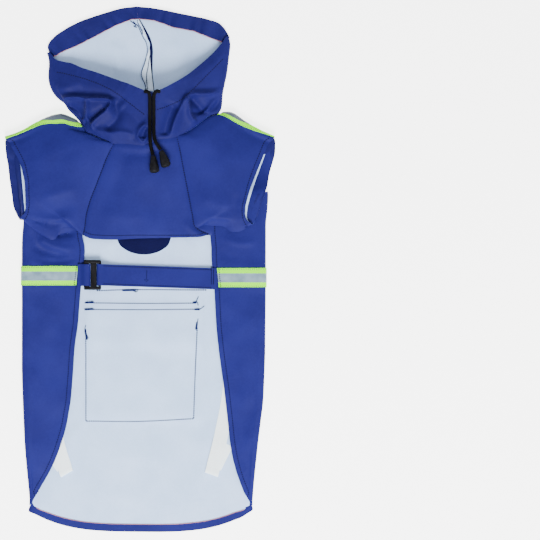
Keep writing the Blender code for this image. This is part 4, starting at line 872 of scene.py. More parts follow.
class Panel:
    """A cloth panel: the fine grid of its outer face, its normals and the cells that exist."""

    def __init__(self, grid, outward, closed=False, cells=None, rows=None, columns=None):
        self.grid = np.array(grid, dtype=float)
        self.outward = outward
        self.closed = closed
        count, width = self.grid.shape[:2]
        self.rows = np.arange(count, dtype=float) if rows is None else rows
        self.columns = np.arange(width, dtype=float) if columns is None else columns
        spans = width if closed else width - 1
        self.cells = np.ones((count - 1, spans), bool) if cells is None else cells
        self.update()

    def update(self):
        """Find the normals again after the grid has moved."""
        grid = np.concatenate([self.grid, self.grid[:, :1]], axis=1) if self.closed else self.grid
        face = np.cross(grid[1:, 1:] - grid[:-1, :-1], grid[1:, :-1] - grid[:-1, 1:])
        face *= self.cells[..., None] * self.outward
        total = np.zeros_like(grid)
        for rows in (slice(None, -1), slice(1, None)):
            for columns in (slice(None, -1), slice(1, None)):
                total[rows, columns] += face
        if self.closed:
            total[:, 0] += total[:, -1]
            total = total[:, :-1]
        self.normals = total / np.maximum(np.linalg.norm(total, axis=2, keepdims=True), 1e-9)

    def plan(self):
        """The grid's x and y, as views that follow it."""
        return self.grid[..., 0], self.grid[..., 1]

    def keep_above(self, level):
        self.grid[..., 2] = np.maximum(self.grid[..., 2], level)

    def face_along(self, direction):
        """Turn the panel's outer side to where the given vectors point."""
        if np.sum(self.normals * direction) < 0:
            self.outward = -self.outward
            self.update()

    def turned(self, values, edge):
        """Values with the named edge as their first row; the same call turns them back."""
        if edge.endswith("column"):
            values = values.swapaxes(0, 1)
        return values

    def lined_up(self, edge):
        """Grid, normals and coarse places along one edge, with that edge as the first row."""
        grid, normals = self.turned(self.grid, edge), self.turned(self.normals, edge)
        if edge.startswith("last"):
            grid, normals = grid[::-1], normals[::-1]
        return grid, normals, (self.rows if edge.endswith("column") else self.columns)

    def push(self, place, move, radius, share=1):
        """Shift the grid in plan round a place, less and less with the distance from it."""
        apart = np.hypot(self.grid[..., 0] - place[0], self.grid[..., 1] - place[1])
        near = share * np.exp(-(apart / radius) ** 2)
        self.grid[..., 0] += move[0] * near
        self.grid[..., 1] += move[1] * near

    def edge_distance(self, edge):
        """Distance of every point from one edge, and its place along that edge."""
        grid, _, _ = self.lined_up(edge)
        steps = np.linalg.norm(np.diff(grid, axis=0), axis=2)
        inward = np.vstack([np.zeros(grid.shape[1]), np.cumsum(steps, axis=0)])
        along = np.broadcast_to(run_lengths(grid[0]), inward.shape)
        if edge.startswith("last"):
            inward = inward[::-1]
        return self.turned(inward, edge), self.turned(along, edge)

    def strip(self, edge, distances, start=None, end=None):
        """Points and normals at distances in from one edge, as rows along it, between two coarse
        places of the edge."""
        grid, normals, places = self.lined_up(edge)
        start = places[0] if start is None else start
        end = places[-1] if end is None else end
        keep = (places >= start - 1e-6) & (places <= end + 1e-6)
        grid, normals = grid[:, keep], normals[:, keep]
        distances = np.asarray(distances, dtype=float)
        if distances.ndim == 1:
            distances = np.repeat(distances[:, None], grid.shape[1], axis=1)
        both = np.concatenate([grid, normals], axis=2)
        result = np.empty((len(distances), grid.shape[1], 6))
        for index in range(grid.shape[1]):
            length = run_lengths(grid[:, index])
            for axis in range(6):
                result[:, index, axis] = np.interp(distances[:, index], length, both[:, index, axis])
        return result[..., :3], result[..., 3:]

    def sample(self, rows, columns):
        """Points and normals at fractional coarse places, as two grids."""
        fine_rows = np.interp(rows, self.rows, np.arange(len(self.rows)))
        fine_columns = np.interp(columns, self.columns, np.arange(len(self.columns)))
        return tuple(pick(values, fine_rows, fine_columns) for values in (self.grid, self.normals))

    def sink(self, edge):
        """Press the cloth in along a seam, and let it reach a little under its neighbour."""
        distance, _ = self.edge_distance(edge)
        self.grid -= self.normals * (SEAM_DEPTH * np.exp(-(distance / SEAM_REACH) ** 2))[..., None]
        grid, _, _ = self.lined_up(edge)
        run = grid[0] - grid[1]
        grid[0] += run / np.maximum(np.linalg.norm(run, axis=1, keepdims=True), 1e-9) * SEAM_OVERLAP

    def pucker(self, edge, height, wavelength, reach):
        """Small uneven ripples that a row of stitches draws into the cloth."""
        distance, along = self.edge_distance(edge)
        phase = (along + PUCKER_SLANT * distance) * TURN / wavelength
        ripple = np.sin(phase + 1.4 * np.sin(0.37 * phase)) * np.exp(-distance / reach)
        self.grid += self.normals * (height * ripple)[..., None]

    def sew(self, seams, height, wavelength, reach):
        """Sink the seams and pucker the hem, which is the last row."""
        self.update()
        for edge in seams:
            self.sink(edge)
        self.pucker("last_row", height, wavelength, reach)
        self.update()

    def faces(self):
        """Outer faces, inner faces and rim faces of the closed shell, as point numbers."""
        count, width = self.grid.shape[:2]
        number = np.arange(count * width).reshape(count, width)
        if self.closed:
            number = np.hstack([number, number[:, :1]])
        inner = count * width
        a, b, c, d = number[:-1, :-1], number[:-1, 1:], number[1:, 1:], number[1:, :-1]
        outer_faces = np.stack([a, b, c, d], -1)[self.cells]
        inner_faces = np.stack([d, c, b, a], -1)[self.cells] + inner
        framed = np.pad(self.cells, 1)
        if self.closed:
            framed[1:-1, 0], framed[1:-1, -1] = self.cells[:, -1], self.cells[:, 0]
        rim = []
        for start, end, beyond in ((a, b, framed[:-2, 1:-1]), (b, c, framed[1:-1, 2:]),
                                   (c, d, framed[2:, 1:-1]), (d, a, framed[1:-1, :-2])):
            open_side = self.cells & ~beyond
            rim.append(np.stack([end, start, start + inner, end + inner], -1)[open_side])
        groups = [outer_faces, inner_faces, np.concatenate(rim)]
        return [group[:, ::-1] for group in groups] if self.outward < 0 else groups

    def points(self, thickness):
        inner = self.grid - self.normals * thickness
        points = np.vstack([self.grid.reshape(-1, 3), inner.reshape(-1, 3)])
        points[:, 2] = np.maximum(points[:, 2], 0)
        return points


def pick(values, rows, columns):
    """Bilinear values of a grid at fractional fine places."""
    row = np.clip(rows.astype(int), 0, len(values) - 2)
    column = np.clip(columns.astype(int), 0, values.shape[1] - 2)
    v, u = (rows - row)[:, None, None], (columns - column)[None, :, None]
    corner = [[values[np.ix_(row + i, column + j)] for j in (0, 1)] for i in (0, 1)]
    upper = corner[0][0] * (1 - u) + corner[0][1] * u
    lower = corner[1][0] * (1 - u) + corner[1][1] * u
    return upper * (1 - v) + lower * v


def refined(coarse, outward, step, closed=False, cells=None, least=1):
    """Fine panel through a coarse grid of points."""
    coarse = np.array(coarse, dtype=float)
    margin = 2 if closed else 0
    if closed:
        coarse = np.concatenate([coarse[:, -margin:], coarse, coarse[:, :margin + 1]], axis=1)
    row_weights, rows = spline_weights(mean_spans(coarse, 0), step)
    column_weights, columns = spline_weights(mean_spans(coarse, 1), step, least)
    columns = columns - margin
    if closed:
        keep = (columns >= 0) & (columns < coarse.shape[1] - 2 * margin - 1)
        column_weights, columns = column_weights[keep], columns[keep]
    grid = np.einsum("ri,ijk,cj->rck", row_weights, coarse, column_weights)
    if cells is not None:
        cells = cells[np.ix_(rows[:-1].astype(int), columns[:-1].astype(int))]
    return Panel(grid, outward, closed, cells, rows, columns)


def unwrapped(tube, start, end):
    """Open part of a tube between two coarse columns, which may lie before its first one."""
    around = round(tube.columns[-1] + tube.columns[1])
    columns = np.concatenate([tube.columns - around, tube.columns])
    keep = (columns >= start - 1e-6) & (columns <= end + 1e-6)
    grid = np.concatenate([tube.grid, tube.grid], axis=1)[:, keep]
    return Panel(grid, tube.outward, rows=tube.rows, columns=columns[keep])


def add_object(name, data):
    """New object in the scene for a mesh, a camera or a light."""
    item = bpy.data.objects.new(name, data)
    bpy.context.scene.collection.objects.link(item)
    return item


def add_mesh(name, points, faces, materials, slots=None, node=(), sharp=50):
    """Object from points in millimetres, riding on the coat and standing for its CAD nodes."""
    used, flat = np.unique(np.asarray(faces), return_inverse=True)
    faces = flat.reshape(np.shape(faces))
    mesh = bpy.data.meshes.new(name)
    mesh.from_pydata((np.asarray(points)[used] * METRE).tolist(), [], faces.tolist())
    for material in materials:
        mesh.materials.append(material)
    if slots is not None:
        mesh.polygons.foreach_set("material_index", np.asarray(slots, dtype=np.int32))
    return declare(name, mesh, node, sharp)


def declare(name, mesh, nodes, sharp):
    """Object of a smooth mesh with sharp edges past an angle, moving with the coat's root, with the solids
    it stands for hidden.
    """
    mesh.shade_smooth()
    mesh.set_sharp_from_angle(angle=math.radians(sharp))
    item = add_object(name, mesh)
    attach(item, "root")
    for node in nodes:
        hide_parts(node)
    return item


def add_panel(name, panel, outer, inner, rim=None, node=(), thickness=CLOTH,
              outer_inside=None, stripe=None):
    """Closed shell of a panel. outer_inside marks the cells whose inner face is the outer cloth, and
    stripe holds the cells of a second outer cloth and its material."""
    outer_faces, inner_faces, rim_faces = panel.faces()
    count, inner_count = len(outer_faces), len(inner_faces)
    slots = np.repeat([0, 1, 2], [count, inner_count, len(rim_faces)])
    materials = [outer, inner, rim or outer]
    if outer_inside is not None:
        slots[count:count + inner_count][outer_inside[panel.cells]] = 0
    if stripe is not None:
        slots[:count][stripe[0][panel.cells]] = len(materials)
        materials.append(stripe[1])
    faces = np.concatenate([outer_faces, inner_faces, rim_faces])
    return add_mesh(name, panel.points(thickness), faces, materials, slots, node)


def add_cloth(name, panel, materials, inside=None, node=None, cloth="blue", thickness=CLOTH):
    """Coated cloth: coloured outside, a light lining inside and a paler edge, painted lighter as a
    highlight.
    """
    return add_panel(name + "_cloth", panel, materials[cloth], materials["lining"],
                     materials["blue_lit_edge"], [node or name], thickness, outer_inside=inside)


# ---------------------------------------------------------------- shared seams and coarse grids

def find_seams(half):
    """Seam lines of one half of the coat, each cut into its own count of steps."""
    inward = np.array(half["neck_inward"]) / np.linalg.norm(half["neck_inward"])
    arc = fold_arc(half["hood_fold"][0], inward, NECK_FOLD_RADIUS, SHOULDER_BASE, FOLD_STEPS)
    top = zip(BACK_TOP["x"], BACK_TOP["y"])
    back_top = np.array([(CENTRE_X + half["side"] * x, y, 0.0) for x, y in top])
    return {
        "neck_inward": inward,
        "neck_sleeve": divide([arc[-1], *half["neck_sleeve"]], SLEEVE_NECK_STEPS),
        "neck_chest": divide(half["neck_chest"], CHEST_STEPS),
        "back_neck": divide([arc[0], *half["back_neck"]], BACK_NECK_STEPS),
        "raglan": divide(half["raglan"], RAGLAN_STEPS),
        "nape": back_top[:5],
        "armhole": back_top[4:8],
    }


def outline_x(name, y):
    points = sorted(BODY_OUTLINE[name], key=lambda point: point[1])
    return float(np.interp(y, [point[1] for point in points], [point[0] for point in points]))


def pocket_height(y):
    """Height of the pocket's lower face: it lies on its flap and then comes down to the ground."""
    return (CLOTH + GAP) * plateau(y, FLAP_BOTTOM, FLAP_TOP)


def back_height(x, y):
    """Height of the back's lower face over the tape, the pocket and the pocket flap."""
    offset = x - CENTRE_X
    over_tape = (TAPE_THICKNESS + GAP) * plateau(y, TAPE_BOTTOM, TAPE_TOP)
    over_flap = ((CLOTH + GAP) * plateau(offset, -FLAP_HALF_WIDTH, FLAP_HALF_WIDTH)
                 * plateau(y, FLAP_BOTTOM, FLAP_TOP))
    pocket_share = (plateau(offset, -FLAP_HALF_WIDTH, FLAP_HALF_WIDTH)
                    * plateau(y, POCKET_BOTTOM, POCKET_TOP))
    over_pocket = (pocket_height(y) + CLOTH + GAP) * pocket_share
    return float(max(over_tape, over_flap, over_pocket))


def turned_y(middle_y, turn, x):
    """Row height at x, bent up toward the corners as far as the row follows the hem."""
    return middle_y + turn * HEM_RISE * (abs(x) / HEM_REACH) ** HEM_POWER + ROW_SLOPE * (x - CENTRE_X)


def fold_side(side, y):
    return outline_x("left_fold" if side < 0 else "right_fold", y)


def flap_points(side, y, radius, base, tip_rise=0.0):
    """Outer face of one side flap in a row, from its free edge to the side fold."""
    edge_x = outline_x("left_edge" if side < 0 else "right_edge", y + tip_rise)
    start_x = fold_side(side, y) - side * radius
    points = []
    for share in FLAP_SHARES:
        rise = (base + 2 * radius - FLAP_EDGE_TOP) * (1 - share) ** 1.5
        points.append((start_x + (edge_x - start_x) * share, y + tip_rise * share, FLAP_EDGE_TOP + rise))
    return points


def side_fold_points(side, y, radius, base):
    arc = fold_arc((fold_side(side, y), y), (-side, 0), radius, base, FOLD_STEPS)
    return [tuple(point) for point in arc[1:-1]]


def body_row(middle_y, turn=0.0, tip_rise=0.0):
    """Outer face of the body across one row: flap, fold, back, fold, flap."""
    halves = {}
    for side in (-1, 1):
        radius = SIDE_FOLD_RADIUS - turn
        side_y = turned_y(middle_y, turn, fold_side(side, middle_y))
        base = back_height(fold_side(side, side_y), middle_y)
        start = abs(fold_side(side, side_y) - CENTRE_X) - radius
        back = []
        for rel in BACK_TOP["x"]:
            plain, reach = LAST_PLAIN_X, CENTRE_HALF_WIDTH - LAST_PLAIN_X
            offset = rel if rel <= plain else plain + (rel - plain) / reach * (start - plain)
            x = CENTRE_X + side * (offset or SLIT_HALF_WIDTH)
            back.append((x, turned_y(middle_y, turn, x), back_height(x, middle_y)))
        flap = flap_points(side, side_y, radius, base, tip_rise)
        halves[side] = flap + side_fold_points(side, side_y, radius, base)[::-1] + back[::-1]
    return halves[-1] + halves[1][::-1]


def upper_row(share):
    """Row between the underarm and the top edge of the back, share 1 on that edge."""
    halves = {}
    low = BODY_ROWS["middle_y"][0]
    for side in (-1, 1):
        back = []
        for rel, top in zip(BACK_TOP["x"], BACK_TOP["y"]):
            x = CENTRE_X + side * (rel or SLIT_HALF_WIDTH)
            y = low + ROW_SLOPE * (x - CENTRE_X) * (1 - share) + (top - low) * share
            if rel == BACK_TOP["x"][-1]:
                x = fold_side(side, y) - side * (0.2 if side < 0 else SIDE_FOLD_RADIUS)
            back.append((x, y, 0.0))
        flap = flap_points(side, back[-1][1], SIDE_FOLD_RADIUS, 0.0)
        fold = side_fold_points(side, back[-1][1], SIDE_FOLD_RADIUS, 0.0)
        halves[side] = flap + fold[::-1] + back[::-1]
    return halves[-1] + halves[1][::-1]


def body_grid():
    """Coarse grid of the body and the cells that the cut piece has."""
    rows = [upper_row(share) for share in UPPER_SHARES]
    last = len(BODY_ROWS["middle_y"]) - 1
    for index, (middle_y, turn) in enumerate(zip(BODY_ROWS["middle_y"], BODY_ROWS["turn"])):
        rows.append(body_row(middle_y, turn, TIP_RISE if index == last - 1 else 0.0))
    grid = np.array(rows)
    grid[-1, FLAP_END, :2] = HEM_CORNERS["left"]
    grid[-1, FAR_START, :2] = HEM_CORNERS["right"]
    cells = np.ones((len(rows) - 1, grid.shape[1] - 1), bool)
    cells[:UPPER_ROWS, :FLAP_END] = False
    cells[UPPER_ROWS - 1, FLAP_END - FOLD_STEPS:FLAP_END] = True
    cells[:UPPER_ROWS, FAR_START + FOLD_STEPS + 2:] = False
    cells[0, FAR_START:] = False
    cells[-1, :FLAP_END] = False
    cells[-1, FAR_START:] = False
    cells[1:UPPER_ROWS + 1, FLAP_END + len(BACK_TOP["x"]) - 1] = False
    return grid, cells


def chest_grid(left, right):
    neck = joined(left["neck_chest"], right["neck_chest"][::-1])
    left_side = joined(left["raglan"], [left["raglan"][-1], LEFT["chest_corner"]])
    right_side = joined(right["raglan"], [right["raglan"][-1], RIGHT["chest_corner"]])
    return patch(neck, divide(CHEST_HEM, 2 * CHEST_STEPS), left_side, right_side)


def fold_arcs(line, side, neck_inward, table, bases):
    """Half circles along a fold from the neck on, over the given heights of its lower layer."""
    steps = len(bases) - 1
    fold = divide(line, steps)
    inward = inward_of(fold, side, neck_inward)
    radii = np.interp(np.linspace(0, 1, steps + 1), table["share"], table["radius"])
    return np.array([fold_arc(edge, square, radius, base, FOLD_STEPS)
                     for edge, square, radius, base in zip(fold, inward, radii, bases)])


def sleeve_grid(half, seams):
    """Short tube: rows from the armhole to the cuff, columns once round it."""
    arcs = fold_arcs(half["shoulder_fold"], half["side"], seams["neck_inward"], SLEEVE_RADII,
                     np.full(SLEEVE_STEPS + 1, SHOULDER_BASE))
    front_start = joined(seams["neck_sleeve"], seams["raglan"], half["underarm"])
    cuff_front = divide([arcs[-1, -1], *half["cuff_front"]], len(front_start) - 1)
    underarm = np.linspace(front_start[-1], cuff_front[-1], SLEEVE_STEPS + 1)
    front = patch(front_start, cuff_front, arcs[:, -1], underarm)
    back_start = joined(seams["back_neck"], seams["armhole"],
                        [seams["armhole"][-1], *half["armhole_end"]])[::-1]
    cuff_back = np.array([arcs[-1, 0], *half["cuff_back"]])[::-1]
    under = np.linspace(back_start[0], cuff_back[0], SLEEVE_STEPS + 1)
    back = patch(back_start, cuff_back, under, arcs[:, 0])
    swell(front, SLEEVE_SWELL)
    closing = underarm_fold(front[:, -1], back[:, 0])
    return np.concatenate([front, closing, back, arcs[:, 1:-1]], axis=1), front.shape[1]


def underarm_fold(upper, lower):
    """Two rounded columns between the front's lower edge and the back's."""
    share = np.linspace(0, 1, len(upper))
    bulge = UNDERARM_BULGE[0] + (UNDERARM_BULGE[1] - UNDERARM_BULGE[0]) * share
    columns = []
    for angle in (math.pi / 3, 2 * math.pi / 3):
        column = upper + (lower - upper) * (1 - math.cos(angle)) / 2
        column[:, 1] -= bulge * math.sin(angle)
        columns.append(column)
    return np.stack(columns, axis=1)


def swell(grid, height):
    """Raise a panel in its middle and leave its borders where they are."""
    rows, columns = grid.shape[:2]
    across = np.sin(np.pi * np.linspace(0, 1, columns))[None, :]
    along = np.sin(np.pi * np.linspace(0, 1, rows))[:, None]
    grid[:, :, 2] += height * across * along


def hood_grid(half, seams):
    """One hood half: rows from the neck to the face edge, columns from the centre seam round."""
    arcs = fold_arcs(half["hood_fold"], -half["side"], seams["neck_inward"], HOOD_RADII,
                     SHOULDER_BASE * (1 - np.linspace(0, 1, HOOD_STEPS + 1)))
    neck_back = joined(seams["nape"], seams["back_neck"][::-1])
    top_edge = divide([*half["hood_top"], arcs[-1, 0]], len(neck_back) - 1)
    back = patch(neck_back, top_edge, divide(HOOD_CENTRE, HOOD_STEPS), arcs[:, 0], NAPE_FADE)
    neck_front = joined(seams["neck_sleeve"], seams["neck_chest"])
    face_edge = divide([arcs[-1, -1], *half["hood_edge"]], len(neck_front) - 1)
    front = patch(neck_front, face_edge, arcs[:, -1], divide(THROAT, HOOD_STEPS))
    return np.concatenate([back, arcs[:, 1:-1], front], axis=1), back.shape[1]


# ---------------------------------------------------------------- materials

def add_node(tree, kind, inputs=None, **settings):
    """Node with its settings; an input is either a value or the socket that feeds it."""
    made = tree.nodes.new(kind)
    for key, value in settings.items():
        setattr(made, key, value)
    for key, value in (inputs or {}).items():
        if isinstance(value, bpy.types.NodeSocket):
            tree.links.new(value, made.inputs[key])
        else:
            made.inputs[key].default_value = value
    return made


class Surface:
    """One procedural material while it is put together, in object coordinates in metres."""

    def __init__(self, name, roughness, specular, sheen=0.0):
        self.material = bpy.data.materials.new(name)
        self.material.use_nodes = True
        self.tree = self.material.node_tree
        self.shader = self.tree.nodes["Principled BSDF"]
        self.shader.inputs["Roughness"].default_value = roughness
        self.shader.inputs["Specular IOR Level"].default_value = specular
        self.shader.inputs["Sheen Weight"].default_value = sheen
        self.place = add_node(self.tree, "ShaderNodeTexCoord").outputs["Object"]
        self.height = None

    def noise(self, scale, detail):
        inputs = {"Vector": self.place, "Scale": scale, "Detail": detail}
        return add_node(self.tree, "ShaderNodeTexNoise", inputs).outputs["Fac"]

    def bands(self, pitch, direction):
        """Parallel ridges with the given distance between them, in metres."""
        made = add_node(self.tree, "ShaderNodeTexWave", {"Vector": self.place, "Scale": TURN / 20 / pitch},
                        bands_direction=direction)
        return made.outputs["Fac"]

    def math(self, operation, first, second):
        return add_node(self.tree, "ShaderNodeMath", {0: first, 1: second}, operation=operation).outputs[0]

    def tint(self, colours, factor, low=0.35, high=0.65):
        """Colour between two, following a factor between its low and high value."""
        limits = {"Value": factor, "From Min": low, "From Max": high}
        ramp = add_node(self.tree, "ShaderNodeMapRange", limits)
        dark, light = colours
        inputs = {"Factor": ramp.outputs[0], 6: (*dark, 1), 7: (*light, 1)}
        return add_node(self.tree, "ShaderNodeMix", inputs, data_type="RGBA").outputs[2]

    def colour(self, socket):
        self.tree.links.new(socket, self.shader.inputs["Base Color"])

    def bump(self, height, distance):
        """Relief of the given depth in metres, on top of what is there."""
        inputs = {"Height": height, "Distance": distance}
        if self.height is not None:
            inputs["Normal"] = self.height
        self.height = add_node(self.tree, "ShaderNodeBump", inputs).outputs[0]
        self.tree.links.new(self.height, self.shader.inputs["Normal"])

    def roughness(self, factor, low, high):
        limits = {"Value": factor, "To Min": low, "To Max": high}
        spread = add_node(self.tree, "ShaderNodeMapRange", limits)
        self.tree.links.new(spread.outputs[0], self.shader.inputs["Roughness"])


def woven(name, dark, light, roughness, specular, crumple=0.0, pitch=WEAVE_PITCH, depth=WEAVE_RELIEF):
    """Plain weave: threads both ways, slow colour changes, a grain and a faint crumple."""
    surface = Surface(name, roughness, specular)
    slow = surface.noise(22, 3)
    grain = surface.noise(420, 1)
    blend = surface.math("ADD", surface.math("MULTIPLY", slow, 0.7), surface.math("MULTIPLY", grain, 0.3))
    surface.colour(surface.tint((dark, light), blend, 0.38, 0.62))
    surface.roughness(slow, roughness - 0.06, roughness + 0.08)
    if crumple:
        surface.bump(surface.noise(38, 3), crumple)
    threads = surface.math("MAXIMUM", surface.bands(pitch, "X"), surface.bands(pitch, "Y"))
    surface.bump(threads, depth)
    return surface.material


def make_reflective(name, dark, light):
    """Silver tape: fine glass beads in a net of small cells, slightly rubbed in places."""
    surface = Surface(name, 0.4, 0.3)
    cells = add_node(surface.tree, "ShaderNodeTexVoronoi", {"Vector": surface.place, "Scale": 900.0})
    rubbed = surface.noise(60, 3)
    surface.colour(surface.tint((dark, light), rubbed))
    surface.roughness(rubbed, 0.34, 0.5)
    surface.bump(cells.outputs["Distance"], 0.00008)
    return surface.material


def make_knit(name):
    """White elastic: cords lengthwise and fine wefts across, with painted shade making it a little greyer
    between them.
    """
    surface = Surface(name, 0.75, 0.2, 0.2)
    ribs = surface.bands(0.0017, "X")
    wefts = surface.bands(0.0009, "Y")
    knit = surface.math("MULTIPLY", ribs, wefts)
    # The darker tint between cords and wefts is painted shade in the grooves
    surface.colour(surface.tint(((0.78, 0.90, 0.98), (0.94, 1.0, 1.0)), knit, 0.0, 0.5))
    surface.bump(ribs, 0.00025)
    surface.bump(wefts, 0.0001)
    return surface.material


def make_plastic(name):
    surface = Surface(name, 0.46, 0.045)
    grain = surface.noise(900, 2)
    wear = surface.noise(120, 3)
    surface.colour(surface.tint(((0.0035, 0.0035, 0.0045), (0.009, 0.009, 0.011)), wear))
    surface.roughness(wear, 0.34, 0.5)
    surface.bump(grain, 0.00004)
    return surface.material


def make_thread(name, dark, light):
    surface = Surface(name, 0.7, 0.1)
    surface.colour(surface.tint((dark, light), surface.noise(700, 1)))
    surface.bump(surface.bands(0.0006, "DIAGONAL"), 0.00005)
    return surface.material


def make_materials():
    materials = {}
    for table, make in ((CLOTHS, woven), (REFLECTIVE, make_reflective), (THREADS, make_thread)):
        materials.update({key: make(*looks) for key, looks in table.items()})
    materials["elastic"] = make_knit("elastic_knit")
    materials["plastic"] = make_plastic("moulded_plastic")
    return materials


# ---------------------------------------------------------------- stitching

class Stitching:
    """Stitches in one thread, gathered into one mesh."""

    def __init__(self, name, material, width, height):
        self.name, self.material = name, material
        self.width, self.height = width, height
        self.points, self.faces = [], []

    def add(self, line, normals, pitch=STITCH_PITCH, length=STITCH_LENGTH):
        """Stitches along a line of surface points, each bedded in the cloth."""
        line, normals = np.asarray(line, dtype=float), np.asarray(normals, dtype=float)
        lengths = run_lengths(line)
        count = max(1, round(lengths[-1] / pitch))
        for middle in (np.arange(count) + 0.5) * lengths[-1] / count:
            places = middle + np.array(STITCH_SHARES) * min(length, lengths[-1])
            ends = np.column_stack([np.interp(places, lengths, line[:, axis]) for axis in range(3)])
            up = np.array([np.interp(middle, lengths, normals[:, axis]) for axis in range(3)])
            self.add_one(ends, up / max(np.linalg.norm(up), 1e-9))

    def add_one(self, ends, up):
        along = ends[3] - ends[0]
        along /= max(np.linalg.norm(along), 1e-9)
        across = np.cross(along, up)
        first = len(self.points)
        self.points.append(ends[0])
        for centre in ends[1:3]:
            self.points += [centre + across * self.width, centre + up * self.height,
                            centre - across * self.width, centre - up * self.height]
        self.points.append(ends[3])
        for index in range(4):
            after = (index + 1) % 4
            a, b, c, d = 1 + index, 1 + after, 5 + after, 5 + index
            self.faces += [(first, first + b, first + a), (first + a, first + b, first + c),
                           (first + a, first + c, first + d), (first + d, first + c, first + 9)]

    def build(self):
        points = np.array(self.points)
        points[:, 2] = np.maximum(points[:, 2], 0)
        return add_mesh(self.name, points, self.faces, [self.material], sharp=30)


class Ground:
    """The laid coat as one surface, to find what lies on top or underneath at a place in plan."""

    def __init__(self, panels):
        points, faces = [], []
        for panel in panels:
            first = len(points)
            points += [tuple(point) for point in panel.points(CLOTH)]
            for group in panel.faces()[:2]:
                faces += [tuple(face) for face in (group + first).tolist()]
        self.tree = BVHTree.FromPolygons(points, faces)

    def look(self, x, y, above=True):
        """Place and normal where a ray from far above or far below first meets the coat."""
        side = 1 if above else -1
        place, normal, _, _ = self.tree.ray_cast(Vector((x, y, side * RAY_START)), Vector((0, 0, -side)))
        if place is not None and normal.z * side < 0:
            normal = -normal
        return place, normal

    def project(self, line, above=True, step=1.4):
        """Points and normals of the surface along a line in plan."""
        line = smooth_line(line, 8) if len(line) > 2 else np.array(line, dtype=float)
        length = run_lengths(line)[-1]
        plan = at_distances(line, np.linspace(0, length, max(2, round(length / step) + 1)))
        found = [self.look(x, y, above) for x, y in plan]
        found = [(tuple(place), tuple(normal)) for place, normal in found if place is not None]
        points, normals = zip(*found) if found else ((), ())
        return np.array(points), np.array(normals)


def outline(corners):
    """Straight-sided closed line through the corners, with points close enough to project."""
    corners = np.array([*corners, corners[0]], dtype=float)
    return at_distances(corners, np.linspace(0, run_lengths(corners)[-1], 40))


# ---------------------------------------------------------------- the cloth pieces

def near_edges(panel, reaches):
    """Cells that lie within a reach of some edges, where the inner face is turned or sewn in."""
    corner = np.zeros(panel.grid.shape[:2], bool)
    for edge, reach in reaches.items():
        corner |= panel.edge_distance(edge)[0] < reach
    rows, columns = panel.cells.shape
    return corner[:rows, :columns] | corner[1:rows + 1, :columns]


def plan_distance(x, y, points):
    """Distance in plan from every place to a line."""
    line = divide(points, 79)
    return np.min(np.hypot(x[..., None] - line[:, 0], y[..., None] - line[:, 1]), axis=-1)


def weight_between(places, start, full, high, end):
    """1 between full and high, easing to 0 at start and end."""
    return smooth_step(np.interp(places, [start, full, high, end], [0, 1, 1, 0]))


def widths_to_line(panel, line, rest):
    """Distance from the last row inward to where each column crosses a line in plan."""
    widths = np.full(len(panel.columns), float(rest))
    across, level = np.array(line).T
    for index in range(len(panel.columns)):
        column = panel.grid[::-1, index]
        above = column[:, 1] - np.interp(column[:, 0], across, level)
        below = np.flatnonzero(above < 0)
        if above[0] > 0 and len(below):
            last = below[0]
            part = above[last - 1] / (above[last - 1] - above[last])
            widths[index] = np.interp(last - 1 + part, np.arange(len(column)), run_lengths(column))
    return widths


def add_hem(name, panel, widths, materials, ripple=0.0, start=None, end=None, cloth="blue"):
    """Turned-in hem: a thin strip along the last row, on the panel's inner face."""
    widths = np.asarray(widths, dtype=float)
    distances = HEM_SHARES[:, None] * widths if widths.ndim else HEM_SHARES * widths
    points, normals = panel.strip("last_row", distances, start, end)
    along = np.broadcast_to(run_lengths(points[0]), points.shape[:2])
    phase = (along + HEM_RIPPLE_SLANT * HEM_SHARES[:, None]) * TURN / HEM_RIPPLE_LENGTH
    wave = np.sin(phase + 1.5 * np.sin(0.43 * phase)) * HEM_SHARES[:, None]
    lift = HEM_LIFT + ripple * (0.5 + 0.5 * wave)
    closed = panel.closed and start is None
    strip = Panel(points - normals * (lift + CLOTH)[..., None], 1, closed)
    strip.face_along(-normals)
    # A hem in the darker inner blue keeps it on its rim as well: painted shade inside the cuff
    rim = materials["blue_inside_shaded"] if cloth == "blue_inside_shaded" else materials["hem_edge"]
    return strip, add_panel(name, strip, materials[cloth], materials[cloth], rim, thickness=HEM_LIFT)


def back_lift(x, y):
    """Creases of the back, which the pieces that lie on it share."""
    return np.maximum(relief(x, y, BACK_CREASES), 0) + 0.5 * (unevenness(x, y) + 0.4)


def crease_body(panel):
    """Creases of the back and of the flaps, with the side folds between them left plain."""
    x, y = panel.plan()
    columns = panel.columns
    on_back = weight_between(columns, FLAP_END + BACK_FADE[0], FLAP_END + BACK_FADE[1],
                             FAR_START - BACK_FADE[1], FAR_START - BACK_FADE[0])
    on_flaps = np.maximum(1 - smooth_step((columns - FLAP_FADE_START) / FLAP_FADE),
                          smooth_step((columns - BODY_COLUMNS + FAR_FLAP_FADE_START) / FLAP_FADE))
    from_top = smooth_step(panel.rows / FLAP_FADE)
    below_top = smooth_step((FLAP_CREASE_TOP - y) / FLAP_CREASE_FADE)
    flap_lift = (relief(x, y, FLAP_CREASES, CRISP_POWER) + unevenness(x, y)) * below_top
    panel.grid[..., 2] += (back_lift(x, y) * on_back[None, :] * from_top[:, None]
                           + flap_lift * on_flaps[None, :])


def shape_body(panel):
    """Bring its corners to the outline, let the lower ones hang, and pucker the flaps' edges."""
    for place, move, radius in BODY_PUSHES:
        panel.push(place, move, radius)
    x, y = panel.plan()
    toward_fold = np.minimum(panel.columns, BODY_COLUMNS - 1 - panel.columns) / FLAP_END
    low = smooth_step((CORNER_DROP_TOP - y) / CORNER_DROP_RUN)
    drop = CORNER_DROP * (np.abs(x - CENTRE_X) / HEM_REACH) ** 4 * low
    panel.grid[..., 1] -= drop * smooth_step(toward_fold)[None, :]
    for edge in SIDE_EDGES:
        panel.pucker(edge, 0.28, 10.5, 7)
    panel.keep_above(0)
    panel.update()


